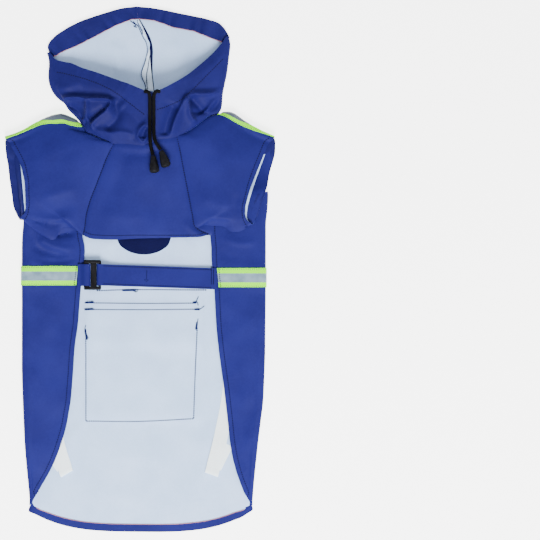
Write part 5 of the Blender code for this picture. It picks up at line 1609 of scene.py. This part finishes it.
def body_turned(panel):
    """Cells whose inner face is turned cloth: at the flaps' edges, the hem and its two corners."""
    x, y = panel.plan()
    at_edge = (panel.columns[:-1] < 0.6) | (panel.columns[:-1] > BODY_COLUMNS - 1.7)
    turned = at_edge[None, :] | near_edges(panel, {"last_row": EDGE_COVER})
    for corner_x, corner_y in HEM_CORNERS.values():
        turned |= (np.hypot(x - corner_x, y - corner_y + CORNER_SHIFT) < CORNER_COVER)[:-1, :-1]
    return turned


def body_hem_widths(panel, start, end):
    """Width of the hem at each of its columns, wider at both ends."""
    kept = panel.columns[(panel.columns > start - 0.001) & (panel.columns < end + 0.001)]
    from_end = np.minimum(kept - start, end - kept)
    return BODY_HEM_WIDTH + CORNER_HEM * (1 - smooth_step((from_end - 0.6) / 1.6))


def make_body(materials):
    grid, cells = body_grid()
    panel = refined(grid, 1, BODY_GRID, cells=cells, least=2)
    crease_body(panel)
    shape_body(panel)
    item = add_cloth("body", panel, materials, body_turned(panel))
    start, end = FLAP_END - 1, FAR_START + 1
    widths = body_hem_widths(panel, start, end)
    hem, hem_item = add_hem("body_hem", panel, widths, materials, start=start, end=end)
    return {"panel": panel, "item": item, "hem": hem, "hem_item": hem_item}


def make_chest(materials, left, right):
    grid = chest_grid(left, right)
    panel = refined(grid, -1, PANEL_GRID)
    x, y = panel.plan()
    last = grid.shape[1] - 1
    across = weight_between(panel.columns, 0, CHEST_FADE, last - CHEST_FADE, last)
    inner = smooth_step(panel.rows / CHEST_FADE)[:, None] * across[None, :]
    panel.grid[..., 2] += (relief(x, y, CHEST_CREASES, CHEST_POWER) + unevenness(x, y)) * inner
    seams = ("first_row", *SIDE_EDGES)
    panel.sew(seams, 0.3, 11, 7)
    sewn = near_edges(panel, {**dict.fromkeys(seams, SEAM_COVER), "last_row": EDGE_COVER})
    item = add_cloth("chest", panel, materials, sewn, node="chest_panel")
    add_hem("chest_hem", panel, CHEST_HEM_WIDTH, materials)
    return {"panel": panel, "item": item}


def make_sleeve(materials, name, half, seams):
    grid, front_count = sleeve_grid(half, seams)
    panel = refined(grid, half["side"], PANEL_GRID, closed=True, least=2)
    extend_cuff(panel.grid, half["side"], (panel.rows / panel.rows[-1])[:, None])
    x, y = panel.plan()
    last = front_count - 1
    on_front = weight_between(panel.columns, 0, SLEEVE_FADE, last - SLEEVE_FADE, last)
    from_seam = smooth_step(panel.rows / SLEEVE_FADE)
    lift = relief(x, y, SLEEVE_CREASES, CRISP_POWER) + 1.3 * unevenness(x, y)
    panel.grid[..., 2] += lift * on_front[None, :] * from_seam[:, None]
    start, end = TAPE_BED_REACH
    bed = 1 - smooth_step((plan_distance(x, y, half["shoulder_fold"]) - start) / (end - start))
    panel.keep_above(TAPE_BED * bed)
    panel.sew(["first_row"], 0.35, 10, 8)
    sewn = near_edges(panel, {"first_row": SEAM_COVER, "last_row": EDGE_COVER})
    item = add_cloth(name, panel, materials, sewn)
    # The cuff's hem takes the darker inner blue: painted shade inside the sleeve
    _, hem_item = add_hem(name + "_hem", panel, CUFF_HEM_WIDTH, materials, 0.25, cloth="blue_inside_shaded")
    return {"panel": panel, "item": item, "hem_item": hem_item, "front_count": front_count}


def extend_cuff(grid, side, share=1.0):
    """Carry the upper part of the cuff out to the photo's outline."""
    out_start, out_end = CUFF_REACH_ACROSS
    up_start, up_end = CUFF_REACH_UP
    outward = smooth_step((side * grid[..., 0] - out_start) / (out_end - out_start))
    upper = smooth_step((grid[..., 1] - up_start) / (up_end - up_start))
    grid[..., 0] += side * CUFF_REACH * outward * upper * share


def add_sleeve_inside(name, panel, is_lining, cloth, materials):
    """Part of a sleeve's inner face, whose outer columns are the hem and the others the lining."""
    panel.face_along(UP)
    stripe = np.broadcast_to(is_lining[None, :], panel.cells.shape)
    return add_panel(name, panel, materials[cloth], materials["lining"], materials[cloth], thickness=0.5,
                     stripe=(stripe, materials["lining"]))


def make_cuff_inside(materials):
    """Inner face of the right sleeve as seen into its cuff: the hem and a sliver of lining."""
    back = divide([CUFF_TOP["back"], *RIGHT["cuff_back"]], CUFF_STEPS)
    front = divide([CUFF_TOP["front"], *RIGHT["cuff_front"]], CUFF_STEPS)
    for line in (back, front):
        extend_cuff(line, 1)
    across = front[:, :2] - back[:, :2]
    across += across / np.linalg.norm(across, axis=1)[:, None] * CUFF_UNDER
    shares = np.array(CUFF_SHARES)
    grid = np.empty((CUFF_STEPS + 1, len(shares), 3))
    grid[..., :2] = back[:, None, :2] + across[:, None] * shares[None, :, None]
    room = np.maximum(front[:, 2] - 2.2 - back[:, 2], 1.4)
    rise = 1.5 + 1.2 * np.sin(np.pi * shares)
    grid[..., 2] = back[:, None, 2] + np.minimum(rise[None, :], room[:, None])
    return add_sleeve_inside("sleeve_right_inside", Panel(grid, 1), shares[:-1] >= CUFF_BLUE, "blue",
                             materials)


def make_left_cuff_gap(materials):
    """Inner face of the left sleeve beside the armhole: the hem's end in a darker blue painted as shade,
    and a sliver of lining.
    """
    panel = refined(LEFT_CUFF_GAP, 1, 1.8)
    return add_sleeve_inside("sleeve_left_inside", panel, panel.columns[:-1] >= LEFT_CUFF_BLUE_COLUMNS,
                             "blue_inside_shaded", materials)


def make_pleat(materials):
    """Turned-in cloth between the chest's right corner and the sleeve."""
    panel = refined(PLEAT, 1, 1.6)
    panel.face_along(UP)
    return add_panel("underarm_pleat", panel, materials["blue"], materials["blue"], thickness=0.8)


def crease_hood(panel, back_count):
    """Creases of the hood's front and of its laid back, with the fold between them left plain."""
    x, y = panel.plan()
    front_start = back_count + FOLD_COLUMNS
    on_front = smooth_step((panel.columns - front_start + 0.6) / 2)[None, :]
    on_back = (1 - smooth_step((panel.columns - back_count + 2.5) / 1.5))[None, :]
    from_seam = smooth_step(panel.rows / HOOD_FADE)[:, None]
    front = relief(x, y, HOOD_CREASES, HOOD_POWER, HOOD_CREASE_END) + 1.2 * unevenness(x, y)
    back = np.maximum(relief(x, y, HOOD_BACK_CREASES), 0) + unevenness(x, y) + 0.5
    panel.grid[..., 2] += (front * on_front + back * on_back) * from_seam
    panel.keep_above(0)


def hood_turned(panel, back_count):
    """Cells whose inner face is the outer cloth: along seam and hem, and on the folded half."""
    turned = near_edges(panel, {"first_row": SEAM_COVER, "last_row": EDGE_COVER})
    folded = panel.columns[:-1] > back_count - 1.3
    return turned | folded[None, :] & (panel.rows[:-1] < HOOD_STEPS - 4)[:, None]


def hood_hem_widths(panel, back_count):
    """Hem up to its line in plan on the laid half, and of one width on the half that is folded over."""
    laid = widths_to_line(panel, HOOD_HEM_LINE, FRONT_HEM_WIDTH)
    share = smooth_step(panel.columns - back_count)
    return laid * (1 - share) + FRONT_HEM_WIDTH * share


def make_hood(materials, side, half, seams):
    grid, back_count = hood_grid(half, seams)
    panel = refined(grid, -half["side"], HOOD_GRID, least=2)
    back_only = (1 - smooth_step(panel.columns - back_count + 1))[None, :]
    for place, move, radius, where in HOOD_PUSHES[side]:
        panel.push(place, move, radius, back_only if where == "back" else 1)
    crease_hood(panel, back_count)
    panel.sew(("first_row", *SIDE_EDGES), 0.3, 12, 9)
    panel.keep_above(0)
    panel.update()
    name = "hood_" + side
    # The hood's cloth and hem are in the darker hood blue: painted shade
    item = add_cloth(name, panel, materials, hood_turned(panel, back_count), cloth="blue_hood_shaded",
                     thickness=HOOD_SHELL)
    widths = hood_hem_widths(panel, back_count)
    hem, hem_item = add_hem(name + "_hem", panel, widths, materials, 3.0, cloth="blue_hood_shaded")
    return {"panel": panel, "item": item, "hem": hem, "hem_item": hem_item, "back_count": back_count}


def facing_rows(grow, top):
    lowest = [FACING_SHOULDER_Y - (FACING_DEPTH + grow) * math.sqrt(1 - (x / FACING_RADIUS) ** 2)
              for x in FACING_X]
    wide = (FACING_RADIUS + grow) / FACING_RADIUS
    rows = [[(CENTRE_X + x * wide, y, top) for x in FACING_X] for y in FACING_Y]
    rows.append([(CENTRE_X + x * wide, (FACING_Y[-1] + low) / 2, top) for x, low in zip(FACING_X, lowest)])
    rows.append([(CENTRE_X + x * wide, low, top) for x, low in zip(FACING_X, lowest)])
    return rows


def make_facing(materials):
    """Half-moon round the leash slit in cloth painted darker as shade, with the light edge of its own
    lining showing under it.
    """
    items = {}
    for key, (name, grow, top, thickness, cloth, nodes) in FACING_LAYERS.items():
        rows = facing_rows(grow, top)
        cells = np.ones((len(rows) - 1, len(FACING_X) - 1), bool)
        cells[1:3, FACING_X.index(-SLIT_HALF_WIDTH)] = False
        panel = refined(rows, -1, 2.5, cells=cells)
        follow_back(panel)
        items[key] = add_panel(name, panel, materials[cloth], materials[cloth], node=nodes,
                               thickness=thickness)
    return items


def follow_back(panel):
    """Let a piece that lies on the back take the back's own creases."""
    panel.grid[..., 2] += back_lift(*panel.plan())
    panel.update()


def make_pocket_piece(name, half_width, rows, materials):
    """Flat piece on the outside of the back, through rows of the given y and height."""
    offsets = np.linspace(-half_width, half_width, 9)
    panel = refined([[(CENTRE_X + x, y, z) for x in offsets] for y, z in rows], 1, SMALL_GRID)
    follow_back(panel)
    return {"panel": panel, "item": add_cloth(name, panel, materials)}


def make_belly_tape(materials, body):
    """Tape round the body, laid on the body's own creased face."""
    upper = UPPER_ROWS + TAPE_ROW
    above, below = BODY_ROWS["middle_y"][TAPE_ROW:TAPE_ROW + 2]
    levels = np.interp([-TAPE_TOP, -TAPE_BOTTOM], [-above, -below], [upper, upper + 1])
    middle = body.sample(np.array([levels.mean()]), body.columns)[0][0]
    flap = np.sum(body.columns <= FLAP_STEPS)
    first = np.interp(-BELLY_TAPE_ENDS[0], -middle[:flap, 0], body.columns[:flap])
    last = np.interp(-BELLY_TAPE_ENDS[1], -middle[-flap:, 0], body.columns[-flap:])
    between = body.columns[(body.columns > first + 0.02) & (body.columns < last - 0.02)]
    rows = levels[0] + (levels[1] - levels[0]) * BELLY_TAPE_SHARES
    grid, normals = body.sample(rows, np.concatenate([[first], between, [last]]))
    panel = Panel(grid + normals * TAPE_RISE, 1)
    low, high = BELLY_TAPE_GREY
    grey = (BELLY_TAPE_SHARES[:-1] > low) & (BELLY_TAPE_SHARES[:-1] < high)
    return add_tape("belly_tape", panel, grey[:, None], materials["grey"], materials)


def make_shoulder_tape(materials, side, sleeve):
    """Tape over the shoulder fold, from its front edge over the fold and on along the back."""
    top = unwrapped(sleeve, -8, 5)
    table = SHOULDER_TAPES[side]
    length = top.edge_distance("first_column")[0]
    outline_column = np.argmin(np.abs(top.columns - FOLD_OUTLINE))
    from_outline = length - length[:, outline_column:outline_column + 1]
    rows = np.flatnonzero(top.rows >= SHOULDER_TAPE_START)
    share = top.rows[rows] / top.rows[-1]
    reach = np.interp(share, table["share"], table["reach"])
    borders = np.array(SHOULDER_TAPE_BORDERS)
    grid = np.empty((len(rows), len(borders), 6))
    for index, row in enumerate(rows):
        both = np.concatenate([top.grid[row], top.normals[row]], axis=1)
        for axis in range(6):
            grid[index, :, axis] = np.interp(reach[index] - borders, from_outline[row], both[:, axis])
    panel = Panel(grid[..., :3] + grid[..., 3:] * TAPE_RISE, 1)
    panel.face_along(grid[..., 3:])
    low, high = SHOULDER_TAPE_GREY
    grey = (borders[:-1] > low) & (borders[:-1] < high)
    # The shoulder tapes' stripe takes the darker reflective grey, painted shade
    return add_tape("shoulder_tape_" + side, panel, grey[None, :], materials["grey_shaded"], materials)


def add_tape(name, panel, grey, reflective, materials):
    """Lime tape with a reflective stripe over the cells of its grey rows or columns."""
    stripe = np.broadcast_to(grey, panel.cells.shape)
    item = add_panel(name + "_cloth", panel, materials["lime"], materials["lime"], node=[name],
                     thickness=TAPE_THICKNESS, stripe=(stripe, reflective))
    return {"panel": panel, "item": item}


def make_ribbon(name, path, middle_y, slope, half_width, thickness, outward, materials):
    """Flat band that follows a path seen from the side."""
    rows = []
    for x, z in path:
        centre = middle_y + slope * (x - STRAP_TURN)
        rows.append([(x, centre + share * half_width, z) for share in (-1, -0.5, 0, 0.5, 1)])
    panel = refined(rows, outward, SMALL_GRID, least=3)
    # The band's rim takes the paler blue, a painted highlight along its edges
    item = add_panel(name + "_band", panel, materials["blue"], materials["blue"], materials["blue_lit_edge"],
                     [name], thickness)
    return {"panel": panel, "item": item}


def make_elastic(name, shape, materials):
    """Flat loop: a long strand whose bottom end is turned under into a short one."""
    low = divide(shape["long"], 24)[:-1]
    high = divide(shape["short"], 4)[1:]
    bottom = np.array(shape["long"][-1])
    inward = np.array(shape["fold_inward"])
    inward /= np.linalg.norm(inward)
    height = ELASTIC_HIGH - ELASTIC_LOW
    bend = [(bottom + inward * reach, ELASTIC_HIGH - height * level, inward)
            for reach, level in ELASTIC_BEND]
    rise = height * smooth_step((np.linspace(0, 1, len(low)) - ELASTIC_RISE[0]) / ELASTIC_RISE[1])
    runs = -np.gradient(low, axis=0)
    stations = [(point, ELASTIC_LOW + up, run) for point, up, run in zip(low, rise, runs)]
    stations += bend
    stations += [(point, ELASTIC_LOW, run) for point, run in zip(high, np.gradient(high, axis=0))]
    rows = []
    for point, level, run in stations:
        square = np.array([run[1], -run[0]]) / np.linalg.norm(run)
        rows.append([(*(point + square * ELASTIC_WIDTH * share), level + ELASTIC_CLEARANCE)
                     for share in ELASTIC_SHARES])
    panel = refined(rows, 1, SMALL_GRID)
    item = add_panel(name + "_band", panel, materials["elastic"], materials["elastic"], node=[name],
                     thickness=0.8)
    return {"panel": panel, "item": item}


def make_seam_allowance(materials, ground):
    """Raw seam inside the hood: its wavy edge stands up a little."""
    edge, gap = divide(SEAM_ALLOWANCE, SEAM_STEPS), divide(SEAM_GAP, SEAM_STEPS)
    along = np.linspace(0, 1, SEAM_STEPS + 1)
    shares = np.array(ALLOWANCE_SHARES)
    plan = edge[:, None] + (gap - edge)[:, None] * shares[None, :, None]
    curl = ALLOWANCE_CURL * np.sin(along * ALLOWANCE_WAVES)[:, None] * (1 - shares)[None, :]
    rise = ALLOWANCE_RISE + ALLOWANCE_ARCH * np.sin(np.pi * shares)[None, :] + curl
    strip = Panel(lay_on(plan, rise, ground), 1)
    strip.face_along(UP)
    item = add_panel("hood_seam_allowance", strip, materials["raw_edge"], materials["lining"],
                     thickness=0.6)
    return strip, item


def make_seam_gap_shadow(materials, ground):
    """Dark strip of painted shadow in the gap beside the raw seam, widest near its top."""
    gap = divide(SEAM_GAP, SEAM_STEPS)
    along = np.linspace(0, 1, SEAM_STEPS + 1)
    width = GAP_WIDTH + GAP_SWELL * np.sin(np.pi * np.clip(GAP_PEAK * along, 0, 1)) ** GAP_POWER
    across = width[:, None] * np.array([0, 0.5, 1])
    plan = gap[:, None] + np.stack([across, np.zeros_like(across)], -1)
    dark = Panel(lay_on(plan, np.full(plan.shape[:2], GAP_RISE), ground), 1)
    dark.face_along(UP)
    add_panel("hood_seam_gap_shadow", dark, materials["blue_painted_shade"], materials["blue_painted_shade"], thickness=0.2)


def lay_on(plan, rise, ground):
    """Points in plan, raised by the given heights over what lies there."""
    grid = np.zeros((*plan.shape[:2], 3))
    grid[..., :2] = plan
    for row, column in np.ndindex(*plan.shape[:2]):
        place, _ = ground.look(*plan[row, column])
        level = place.z if place is not None else grid[row - 1, column, 2]
        grid[row, column, 2] = level + rise[row, column]
    return grid


# ---------------------------------------------------------------- drawstring and buckle

def cord_frame(path):
    """Two directions square to the path at each of its points, without twist."""
    tangent = np.gradient(path, axis=0)
    tangent /= np.linalg.norm(tangent, axis=1)[:, None]
    first = np.cross(tangent, (0.0, 0.0, 1.0))
    first /= np.linalg.norm(first, axis=1)[:, None]
    return first, np.cross(tangent, first)


def tube_faces(rings, sides):
    number = np.arange(rings * sides).reshape(rings, sides)
    after = np.roll(number, -1, axis=1)
    return np.stack([number[:-1], after[:-1], after[1:], number[1:]], -1).reshape(-1, 4)


def make_cord(name, route, materials):
    """Braided cord: strands that cross each other show as a net of small bumps."""
    path = smooth_line(route, 16)
    length = run_lengths(path)[-1]
    path = at_distances(path, np.linspace(0, length, int(length / BRAID_STEP)))
    first, second = cord_frame(path)
    angles = np.linspace(0, TURN, BRAID_SIDES, endpoint=False)[None, :]
    along = np.linspace(0, length, len(path))[:, None]
    turn = BRAID_STRANDS * angles
    weave = np.sin(turn + BRAID_LAY * along) * np.sin(turn - BRAID_LAY * along)
    radius = CORD_DIAMETER / 2 * (1 + BRAID_DEPTH * weave)[..., None]
    ring = np.cos(angles)[..., None] * first[:, None] + np.sin(angles)[..., None] * second[:, None]
    points = (path[:, None] + radius * ring).reshape(-1, 3)
    item = add_mesh(name + "_braid", points, tube_faces(len(path), BRAID_SIDES), [materials["cord"]],
                    node=[name])


def make_stopper(name, place, materials):
    """Bell-shaped cord end with a rolled mouth, turned round the line from its top to its end."""
    top, end = Vector(place["top"]), Vector(place["end"])
    turn = (end - top).to_track_quat("Z", "Y")
    at = np.array(STOPPER_PROFILE["at"])
    levels = np.unique(np.concatenate([at, np.linspace(0, STOPPER_LENGTH, STOPPER_SIDES)]))
    radii = np.interp(levels, at, STOPPER_PROFILE["radius"])
    for groove in STOPPER_GROOVES:
        radii -= GROOVE_DEPTH * np.exp(-((levels - groove) / GROOVE_WIDTH) ** 2)
    profile = [(0.0, 0.05), *zip(levels, radii), *STOPPER_MOUTH]
    points = []
    for level, radius in profile:
        for angle in np.linspace(0, TURN, STOPPER_SIDES, endpoint=False):
            points.append(top + turn @ Vector((radius * math.cos(angle), radius * math.sin(angle), level)))
    return add_mesh(name + "_bell", np.array(points), tube_faces(len(profile), STOPPER_SIDES),
                    [materials["plastic"]], node=[name], sharp=40)


def add_rounded_box(target, low, high, radius):
    size = Vector(high) - Vector(low)
    made = bmesh.ops.create_cube(target, size=1)
    bmesh.ops.scale(target, verts=made["verts"], vec=size)
    bmesh.ops.translate(target, verts=made["verts"], vec=(Vector(high) + Vector(low)) / 2)
    edges = list({edge for vert in made["verts"] for edge in vert.link_edges})
    bmesh.ops.bevel(target, geom=edges, offset=radius, segments=4, affect="EDGES", profile=0.5)


def make_buckle(materials):
    """Slide buckle: two rails, three bars between them and a ribbed grip on the middle one."""
    work = bmesh.new()
    (left, right), (bottom, top), (under, over) = BUCKLE_X, BUCKLE_Y, BAR_Z
    for low, high in ((bottom, bottom + RAIL_WIDTH), (top - RAIL_WIDTH, top)):
        add_rounded_box(work, (left, low, RAIL_Z[0]), (right, high, RAIL_Z[1]), RAIL_BEVEL)
    for low, high in BAR_X:
        add_rounded_box(work, (low, bottom + BAR_INSET, under), (high, top - BAR_INSET, over), BAR_BEVEL)
    low, high = BAR_X[1]
    for y in np.arange(bottom + RIB_ENDS[0], top - RIB_ENDS[1], RIB_PITCH):
        add_rounded_box(work, (low + RIB_INSET, y, over - RIB_SINK),
                        (high - RIB_INSET, y + RIB_PITCH / 2, over + RIB_HEIGHT), RIB_BEVEL)
    bmesh.ops.scale(work, verts=work.verts, vec=(METRE,) * 3)
    mesh = bpy.data.meshes.new("buckle_moulding")
    work.to_mesh(mesh)
    work.free()
    mesh.materials.append(materials["plastic"])
    return declare("buckle_moulding", mesh, ["buckle"], sharp=40)


# ---------------------------------------------------------------- stitching on the coat

def on_edge(panel, edge, distance, start=None, end=None):
    """Line of points and normals on a panel's outer face, at a distance in from an edge."""
    points, normals = panel.strip(edge, [distance], start, end)
    return points[0], normals[0]


def add_thread(points, faces, path, radius):
    """Add one thin, slightly uneven round thread to a mesh's lists."""
    first, second = cord_frame(path)
    angles = np.linspace(0, TURN, THREAD_SIDES, endpoint=False)[None, :, None]
    uneven = (1 + 0.25 * np.sin(np.arange(len(path)) * 2.3))[:, None, None]
    ends = np.ones((len(path), 1, 1))
    ends[[0, -1]] = THREAD_TIP
    ring = (np.cos(angles) * first[:, None] + np.sin(angles) * second[:, None]) * radius * uneven * ends
    faces.append(tube_faces(len(path), THREAD_SIDES) + len(points))
    points += list((path[:, None] + ring).reshape(-1, 3))


def make_cut_edges(coat, material):
    """Raw edge of the turned-in hems: a fine line where each hem ends on the lining."""
    points, faces = [], []
    for name, first, last in CUT_EDGES:
        hem = coat[name]["hem"].grid
        columns = slice(int(first * hem.shape[1]), int(last * hem.shape[1]))
        line = hem[-1, columns] + (0, 0, 0.1)
        path = at_distances(line, np.arange(0, run_lengths(line)[-1], 1.2))
        add_thread(points, faces, path, CUT_EDGE_RADIUS)
    add_mesh("hem_cut_edges", np.array(points), np.concatenate(faces), [material])


def stitch_edges(thread, panel, edges, distance, start=None, end=None, **size):
    """Stitches along edges of a panel, at one distance in from each."""
    for edge in edges:
        thread.add(*on_edge(panel, edge, distance, start, end), **size)


def stitch_lines(thread, ground, lines, above=True, **size):
    """Stitches along lines in plan, on top of the laid coat or under it."""
    for line in lines:
        thread.add(*ground.project(line, above), **size)


def stitch_front(stitches, coat, ground):
    navy, tape = stitches["navy"], stitches["tape"]
    chest, body, belly_tape = [coat[name]["panel"] for name in ("chest", "body", "belly_tape")]
    stitch_lines(navy, ground, CHANNEL_LINES)
    for side in ("left", "right"):
        sleeve = coat["sleeve_" + side]
        stitch_edges(navy, sleeve["panel"], ["last_row"], CUFF_STITCH, 0, sleeve["front_count"] - 1)
        stitch_edges(navy, coat["hood_" + side]["panel"], ["first_column"], 1.6)
        stitch_edges(tape, coat["shoulder_tape_" + side]["panel"], ["first_column"], 1.2, pitch=2.6,
                     length=1.5)
    stitch_edges(stitches["raglan"], chest, SIDE_EDGES, 0.9, pitch=2.9, length=2.5)
    stitch_edges(navy, chest, ["last_row"], CHEST_STITCH)
    stitch_edges(navy, body, SIDE_EDGES, EDGE_STITCH, UPPER_ROWS, UPPER_ROWS + 23)
    stitch_edges(tape, belly_tape, END_EDGES, 1.4, pitch=2.8, length=1.5)
    stitch_edges(navy, belly_tape, SIDE_EDGES, 2.4, pitch=2.4, length=1.9)
    stitch_edges(navy, coat["belly_strap"]["panel"], SIDE_EDGES, 2.2, 1, 8)
    stitch_lines(navy, ground, STRAP_ENDS, pitch=2.6)
    stitch_lines(navy, ground, STRAP_MARKS, pitch=2.4, length=1.9)
    stitch_lines(stitches["lining"], ground, POCKET_LINES, pitch=2.9, length=2.6)


def make_threads(name, lines, ground, material, radius, rise):
    """Loose thread ends and knots as thin, slightly uneven round threads."""
    points, faces = [], []
    for line in lines:
        path, normals = ground.project(line, step=0.9)
        if len(path) < 3:
            continue
        path = path + normals * (rise * (0.6 + 0.8 * np.linspace(0, 1, len(path))))[:, None]
        add_thread(points, faces, path, radius)
    return add_mesh(name, np.array(points), np.concatenate(faces), [material])


def stitch_back(navy, coat, ground):
    for side in ("left", "right"):
        sleeve, hood = coat["sleeve_" + side], coat["hood_" + side]
        stitch_edges(navy, sleeve["panel"], ["last_row"], CUFF_STITCH, sleeve["front_count"] + 3)
        stitch_edges(navy, hood["panel"], ["last_row"], 19, 0, hood["back_count"] - 1)
        stitch_edges(navy, hood["panel"], ["first_row"], 1.8, 0, 4)
    stitch_edges(navy, coat["body"]["panel"], ["last_row"], HEM_STITCH, FLAP_END, FAR_START)
    stitch_lines(navy, ground, [SLIT_BORDER], above=False, pitch=2.4, length=1.8)
    stitch_lines(navy, ground, [outline(corners) for corners in TRIANGLES], above=False, pitch=2.3,
                 length=1.8)
    stitch_lines(navy, ground, [FLAP_FASTENER], above=False, pitch=2.6)
    for edge in (*SIDE_EDGES, *END_EDGES):
        navy.add(*inset_line(coat["pocket_flap"]["panel"], edge, 6.5))
    pocket = coat["pocket"]["panel"]
    stitch_edges(navy, pocket, SIDE_EDGES, 2.4, start=2)
    stitch_edges(navy, pocket, ["last_row"], 2.4)


def sew_coat(materials, coat, ground):
    """All stitches, and the loose threads and knots at their ends."""
    stitches = {kind: Stitching("stitches_" + kind, materials[thread], width, height)
                for kind, (thread, width, height) in STITCHES.items()}
    stitch_front(stitches, coat, ground)
    stitch_back(stitches["navy"], coat, ground)
    for kind in stitches.values():
        kind.build()
    for name, (lines, radius, rise) in LOOSE_THREADS.items():
        make_threads(name, lines, ground, materials["thread_bright"], radius, rise)


def inset_line(panel, edge, distance):
    """Line on a rectangular piece that also stops short of the neighbouring edges."""
    points, normals = on_edge(panel, edge, distance)
    lengths = run_lengths(points)
    keep = (lengths >= distance) & (lengths <= lengths[-1] - distance)
    return points[keep], normals[keep]


# ---------------------------------------------------------------- scene

def make_camera():
    data = bpy.data.cameras.new("camera")
    data.sensor_width = SENSOR
    data.lens = SENSOR * CAMERA_HEIGHT / PHOTO_WIDTH
    data.clip_end = 100
    camera = add_object("camera", data)
    camera.location = (PHOTO_CENTRE[0] * METRE, PHOTO_CENTRE[1] * METRE, CAMERA_HEIGHT * METRE)
    bpy.context.scene.camera = camera


def make_floor():
    """White paper under the coat, bright enough to be white in the picture."""
    mesh = bpy.data.meshes.new("floor")
    half, level = FLOOR_HALF, FLOOR_LEVEL
    corners = [(-half, -half, level), (half, -half, level), (half, half, level), (-half, half, level)]
    mesh.from_pydata(corners, [], [(0, 1, 2, 3)])
    paper = Surface("floor_paper", 0.9, 0.1)
    paper.colour(paper.tint(((0.86, 0.86, 0.86), (0.9, 0.9, 0.9)), paper.noise(3, 2)))
    paper.shader.inputs["Emission Color"].default_value = WHITE
    paper.shader.inputs["Emission Strength"].default_value = FLOOR_GLOW
    mesh.materials.append(paper.material)
    floor = add_object("floor", mesh)


def make_lights():
    """Soft lamps aimed at the origin, and an even white surrounding."""
    for name, (place, power, size) in LIGHTS.items():
        data = bpy.data.lights.new(name, "AREA")
        data.energy = power
        data.size = size
        lamp = add_object(name, data)
        lamp.location = place
        lamp.rotation_euler = (-Vector(place)).to_track_quat("-Z", "Y").to_euler()
    world = bpy.data.worlds.new("studio")
    world.use_nodes = True
    background = world.node_tree.nodes["Background"]
    background.inputs["Color"].default_value = WHITE
    background.inputs["Strength"].default_value = WORLD_STRENGTH
    bpy.context.scene.world = world


def make_cloth(materials):
    left, right = find_seams(LEFT), find_seams(RIGHT)
    coat = {"body": make_body(materials), "chest": make_chest(materials, left, right)}
    body = coat["body"]["panel"]
    for side, half, seams in (("left", LEFT, left), ("right", RIGHT, right)):
        sleeve = make_sleeve(materials, "sleeve_" + side, half, seams)
        coat["sleeve_" + side] = sleeve
        coat["hood_" + side] = make_hood(materials, side, half, seams)
        coat["shoulder_tape_" + side] = make_shoulder_tape(materials, side, sleeve["panel"])
    coat["sleeve_right"]["cuff_item"] = make_cuff_inside(materials)
    coat["sleeve_left"]["cuff_item"] = make_left_cuff_gap(materials)
    coat["sleeve_right"]["pleat_item"] = make_pleat(materials)
    coat["slit_facing"] = make_facing(materials)
    pocket_rows = [(y, float(pocket_height(y))) for y in POCKET_LEVELS]
    coat["pocket"] = make_pocket_piece("pocket", POCKET_HALF_WIDTH, pocket_rows, materials)
    flap_rows = [(y, 0.0) for y in FLAP_LEVELS]
    coat["pocket_flap"] = make_pocket_piece("pocket_flap", FLAP_HALF_WIDTH, flap_rows, materials)
    coat["belly_tape"] = make_belly_tape(materials, body)
    for name, shape in RIBBONS.items():
        coat[name] = make_ribbon(name, *shape, materials)
    for name, shape in ELASTICS.items():
        coat[name] = make_elastic(name, shape, materials)
    return coat


def make_coat():
    make_camera()
    materials = make_materials()
    for side in ("left", "right"):
        stopper = "cord_stopper_" + side
        bell = make_stopper(stopper, STOPPERS[stopper], materials)
        make_cord("drawcord_" + side, CORDS["drawcord_" + side], materials)
    coat = make_cloth(materials)
    make_buckle(materials)
    panels = [piece["panel"] for piece in coat.values() if "panel" in piece]
    bare = Ground(panels)
    allowance, coat["hood_left"]["allowance_item"] = make_seam_allowance(materials, bare)
    make_seam_gap_shadow(materials, bare)
    sew_coat(materials, coat, Ground([*panels, allowance]))
    make_cut_edges(coat, materials["cut_edge"])
    make_floor()
    make_lights()


make_coat()
